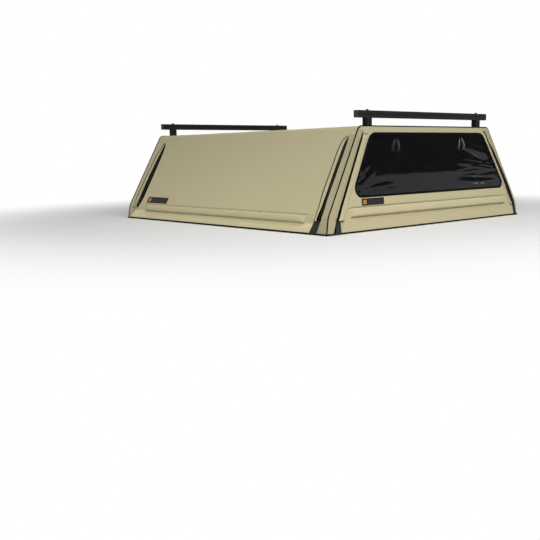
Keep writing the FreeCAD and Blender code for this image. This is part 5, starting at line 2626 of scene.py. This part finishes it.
    def zip_halves(self) -> None:
        """Makes the half of every zip that stays."""
        runs = [("left_rear", Side.LEFT, SIDE_REAR_ZIP), ("left_front", Side.LEFT, SIDE_FRONT_ZIP),
                ("right_rear", Side.RIGHT, SIDE_REAR_ZIP), ("right_front", Side.RIGHT, SIDE_FRONT_ZIP),
                ("rear_left", Side.REAR, REAR_LEFT_ZIP), ("rear_right", Side.REAR, REAR_RIGHT_ZIP)]
        stands_for = {"left_rear": "left_side_zips", "right_rear": "right_side_zips",
                      "rear_left": "rear_zips"}
        for tag, side, lines in runs:
            wall = Wall(self.form, side)
            made = self.zips.half(tag + "_fixed", wall, lines, lines.fixed_edge)
            made.append(self.zips.slider(tag + "_slider", wall, lines, 0.125 if "front" in tag else 0.055))
            if tag in stands_for:
                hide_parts(stands_for[tag])
            for piece in made:
                fix(piece)
        for tail in TAILS:
            fix(self.zips.tail(tail, self.form))

    def build(self) -> None:
        """Makes the fixed cloth."""
        self.roof()
        self.rear_header()
        for hand in (-1, 1):
            self.rear_corner(hand)
        for side in (Side.LEFT, Side.RIGHT):
            self.front_corner(side)
        self.front_wall()
        self.piping()
        self.zip_halves()


@dataclass
class RollStraps:
    """The two webbing straps with buckles that hang inside the rear window and hold it rolled up."""

    form: Form
    finishes: Finishes
    places: tuple[float, float] = ROLL_STRAPS
    width: float = 0.025
    thickness: float = 0.0014
    top: float = 0.540
    foot: float = 0.446
    set_in: float = -0.0062

    def strap(self, name: str, along: float) -> Piece:
        """Hangs one strap, its foot turned back on itself.

        Args:
            name: the piece's name.
            along: the place along the wall.

        Returns:
            The strap.
        """
        wall = Wall(self.form, Side.REAR)
        half, thick = self.width / 2, self.thickness / 2
        section = [(-half, -thick), (half, -thick), (half, thick), (-half, thick)]
        path = [(along, h) for h in reversed(steps(self.foot, self.top, 0.006))]
        layers = [
            ribbon(name, wall, path, section, ring=True, base=flat(self.set_in + back))
            for back in (0.0, -0.0022)
        ]
        return dress(Bench.join(layers), self.finishes.strap)

    def buckle(self) -> Piece:
        """Models one half of a side release buckle, lying at the middle of the bench.

        Returns:
            The model.
        """
        piece = Bench.block("buckle_model", (0.030, 0.034, 0.0064), (0.0, 0.0, 0.0))
        Bench.pick(piece, lambda at, out: out.y < -0.9)
        Bench.extrude(0.0, -0.014, 0.0)
        bpy.ops.transform.resize(value=(0.62, 1.0, 0.7))
        Bench.pick(piece, lambda at, out: out.z > 0.9 and at.y > -0.01)
        bpy.ops.mesh.inset(thickness=0.005)
        Bench.extrude(0.0, 0.0, -0.0022)
        Bench.soften(0.0008)
        return Bench.done(piece)

    def build(self) -> None:
        """Hangs the straps and puts a buckle on each foot."""
        wall = Wall(self.form, Side.REAR)
        model = self.buckle()
        spots = []
        for tag, along in zip(("left", "right"), self.places):
            fix(self.strap(tag + "_roll_strap", along))
            below = level(self.foot - 0.004, along, along + 0.001)
            spots += pace(wall, below, 0.001, flat(self.set_in - 0.006))[:1]
        buckles = strew("roll_strap_buckles", model, spots)
        fix(dress(buckles, self.finishes.cap))
        bpy.data.objects.remove(model)


@dataclass
class LoadBars:
    """What is added to the two load bars: bolt heads with washers, and boots round the posts."""

    finishes: Finishes
    head_radius: float = 0.0080
    head_height: float = 0.0058
    boot_half: float = 0.0225
    boot_height: float = 0.006

    def bolt(self) -> Piece:
        """Models one hexagon head on its washer, standing on the level z = 0.

        Returns:
            The model.
        """
        piece = Bench.disc("bolt_model", self.head_radius, self.head_height,
                           (0.0, 0.0, 0.0014 + self.head_height / 2), 6)
        Bench.pick(piece, lambda at, out: out.z > 0.9)
        bpy.ops.mesh.bevel(offset=0.0008, segments=2, affect="EDGES")
        Bench.pick(piece, lambda at, out: out.z < -0.9)
        Bench.extrude(0.0, 0.0, 0.0)
        bpy.ops.transform.resize(value=(1.35, 1.35, 1.0))
        Bench.extrude(0.0, 0.0, -0.0014)
        return Bench.done(piece)

    def boot(self, name: str, at: Vector) -> None:
        """Models a rubber boot that closes the roof round a post.

        Args:
            name: the piece's name.
            at: the middle of the post, at the roof.
        """
        size = 2 * self.boot_half
        middle = (at.x, at.y, at.z + self.boot_height / 2 - 0.002)
        piece = Bench.block(name, (size, size, self.boot_height), middle)
        Bench.pick(piece, lambda mid, out: out.z > 0.9)
        bpy.ops.transform.resize(value=(0.86, 0.86, 1.0))
        Bench.soften(0.0014)
        Bench.done(piece)
        fix(dress(piece, self.finishes.rubber))

    def build(self) -> None:
        """Adds the bolts over the posts and the boots round them."""
        model = self.bolt()
        for end in ("rear", "front"):
            low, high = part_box(end + "_load_bar")
            places = []
            for hand in ("left", "right"):
                post_low, post_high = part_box(f"{hand}_{end}_bar_post")
                middle = (post_low + post_high) / 2
                places.append(Matrix.Translation((middle.x, (low.y + high.y) / 2, high.z)))
                self.boot(f"{hand}_{end}_post_boot", Vector((middle.x, middle.y, FORM.roof_height)))
            piece = strew(end + "_bar_bolts", model, places)
            fix(dress(piece, self.finishes.steel))
        bpy.data.objects.remove(model)


@dataclass
class Hardware:
    """The carried over rails, posts, bars, caps and seals, which only get their finish."""

    finishes: Finishes

    def build(self) -> None:
        """Gives every shown node a finish chosen by a word in its name, by default the frame's."""
        by_word = {
            "seal": self.finishes.rubber,
            "load_bar": self.finishes.bar,
            "bar_post": self.finishes.bar,
            "bar_caps": self.finishes.cap,
        }
        for name, node in frame["nodes"].items():
            finish = next((f for word, f in by_word.items() if word in name), self.finishes.frame)
            if not node.hide_render:
                dress(node, finish)


def main() -> None:
    """Builds the studio, the canopy's cloth and trim, and finishes every node."""
    logging.basicConfig(level=logging.INFO, format="%(message)s")
    Studio().build()
    finishes = Finishes()
    models = Models()
    seams = Seams(models, finishes)
    zips = ZipMaker(finishes, models)
    Shell(FORM, finishes, seams, zips).build()
    for side in (Side.LEFT, Side.RIGHT):
        SideDoor(FORM, side, finishes, seams, zips).build()
    RearDoor(FORM, finishes, seams, zips).build()
    RollStraps(FORM, finishes).build()
    LoadBars(finishes).build()
    models.clear()
    Hardware(finishes).build()


if __name__ == "__main__":
    main()
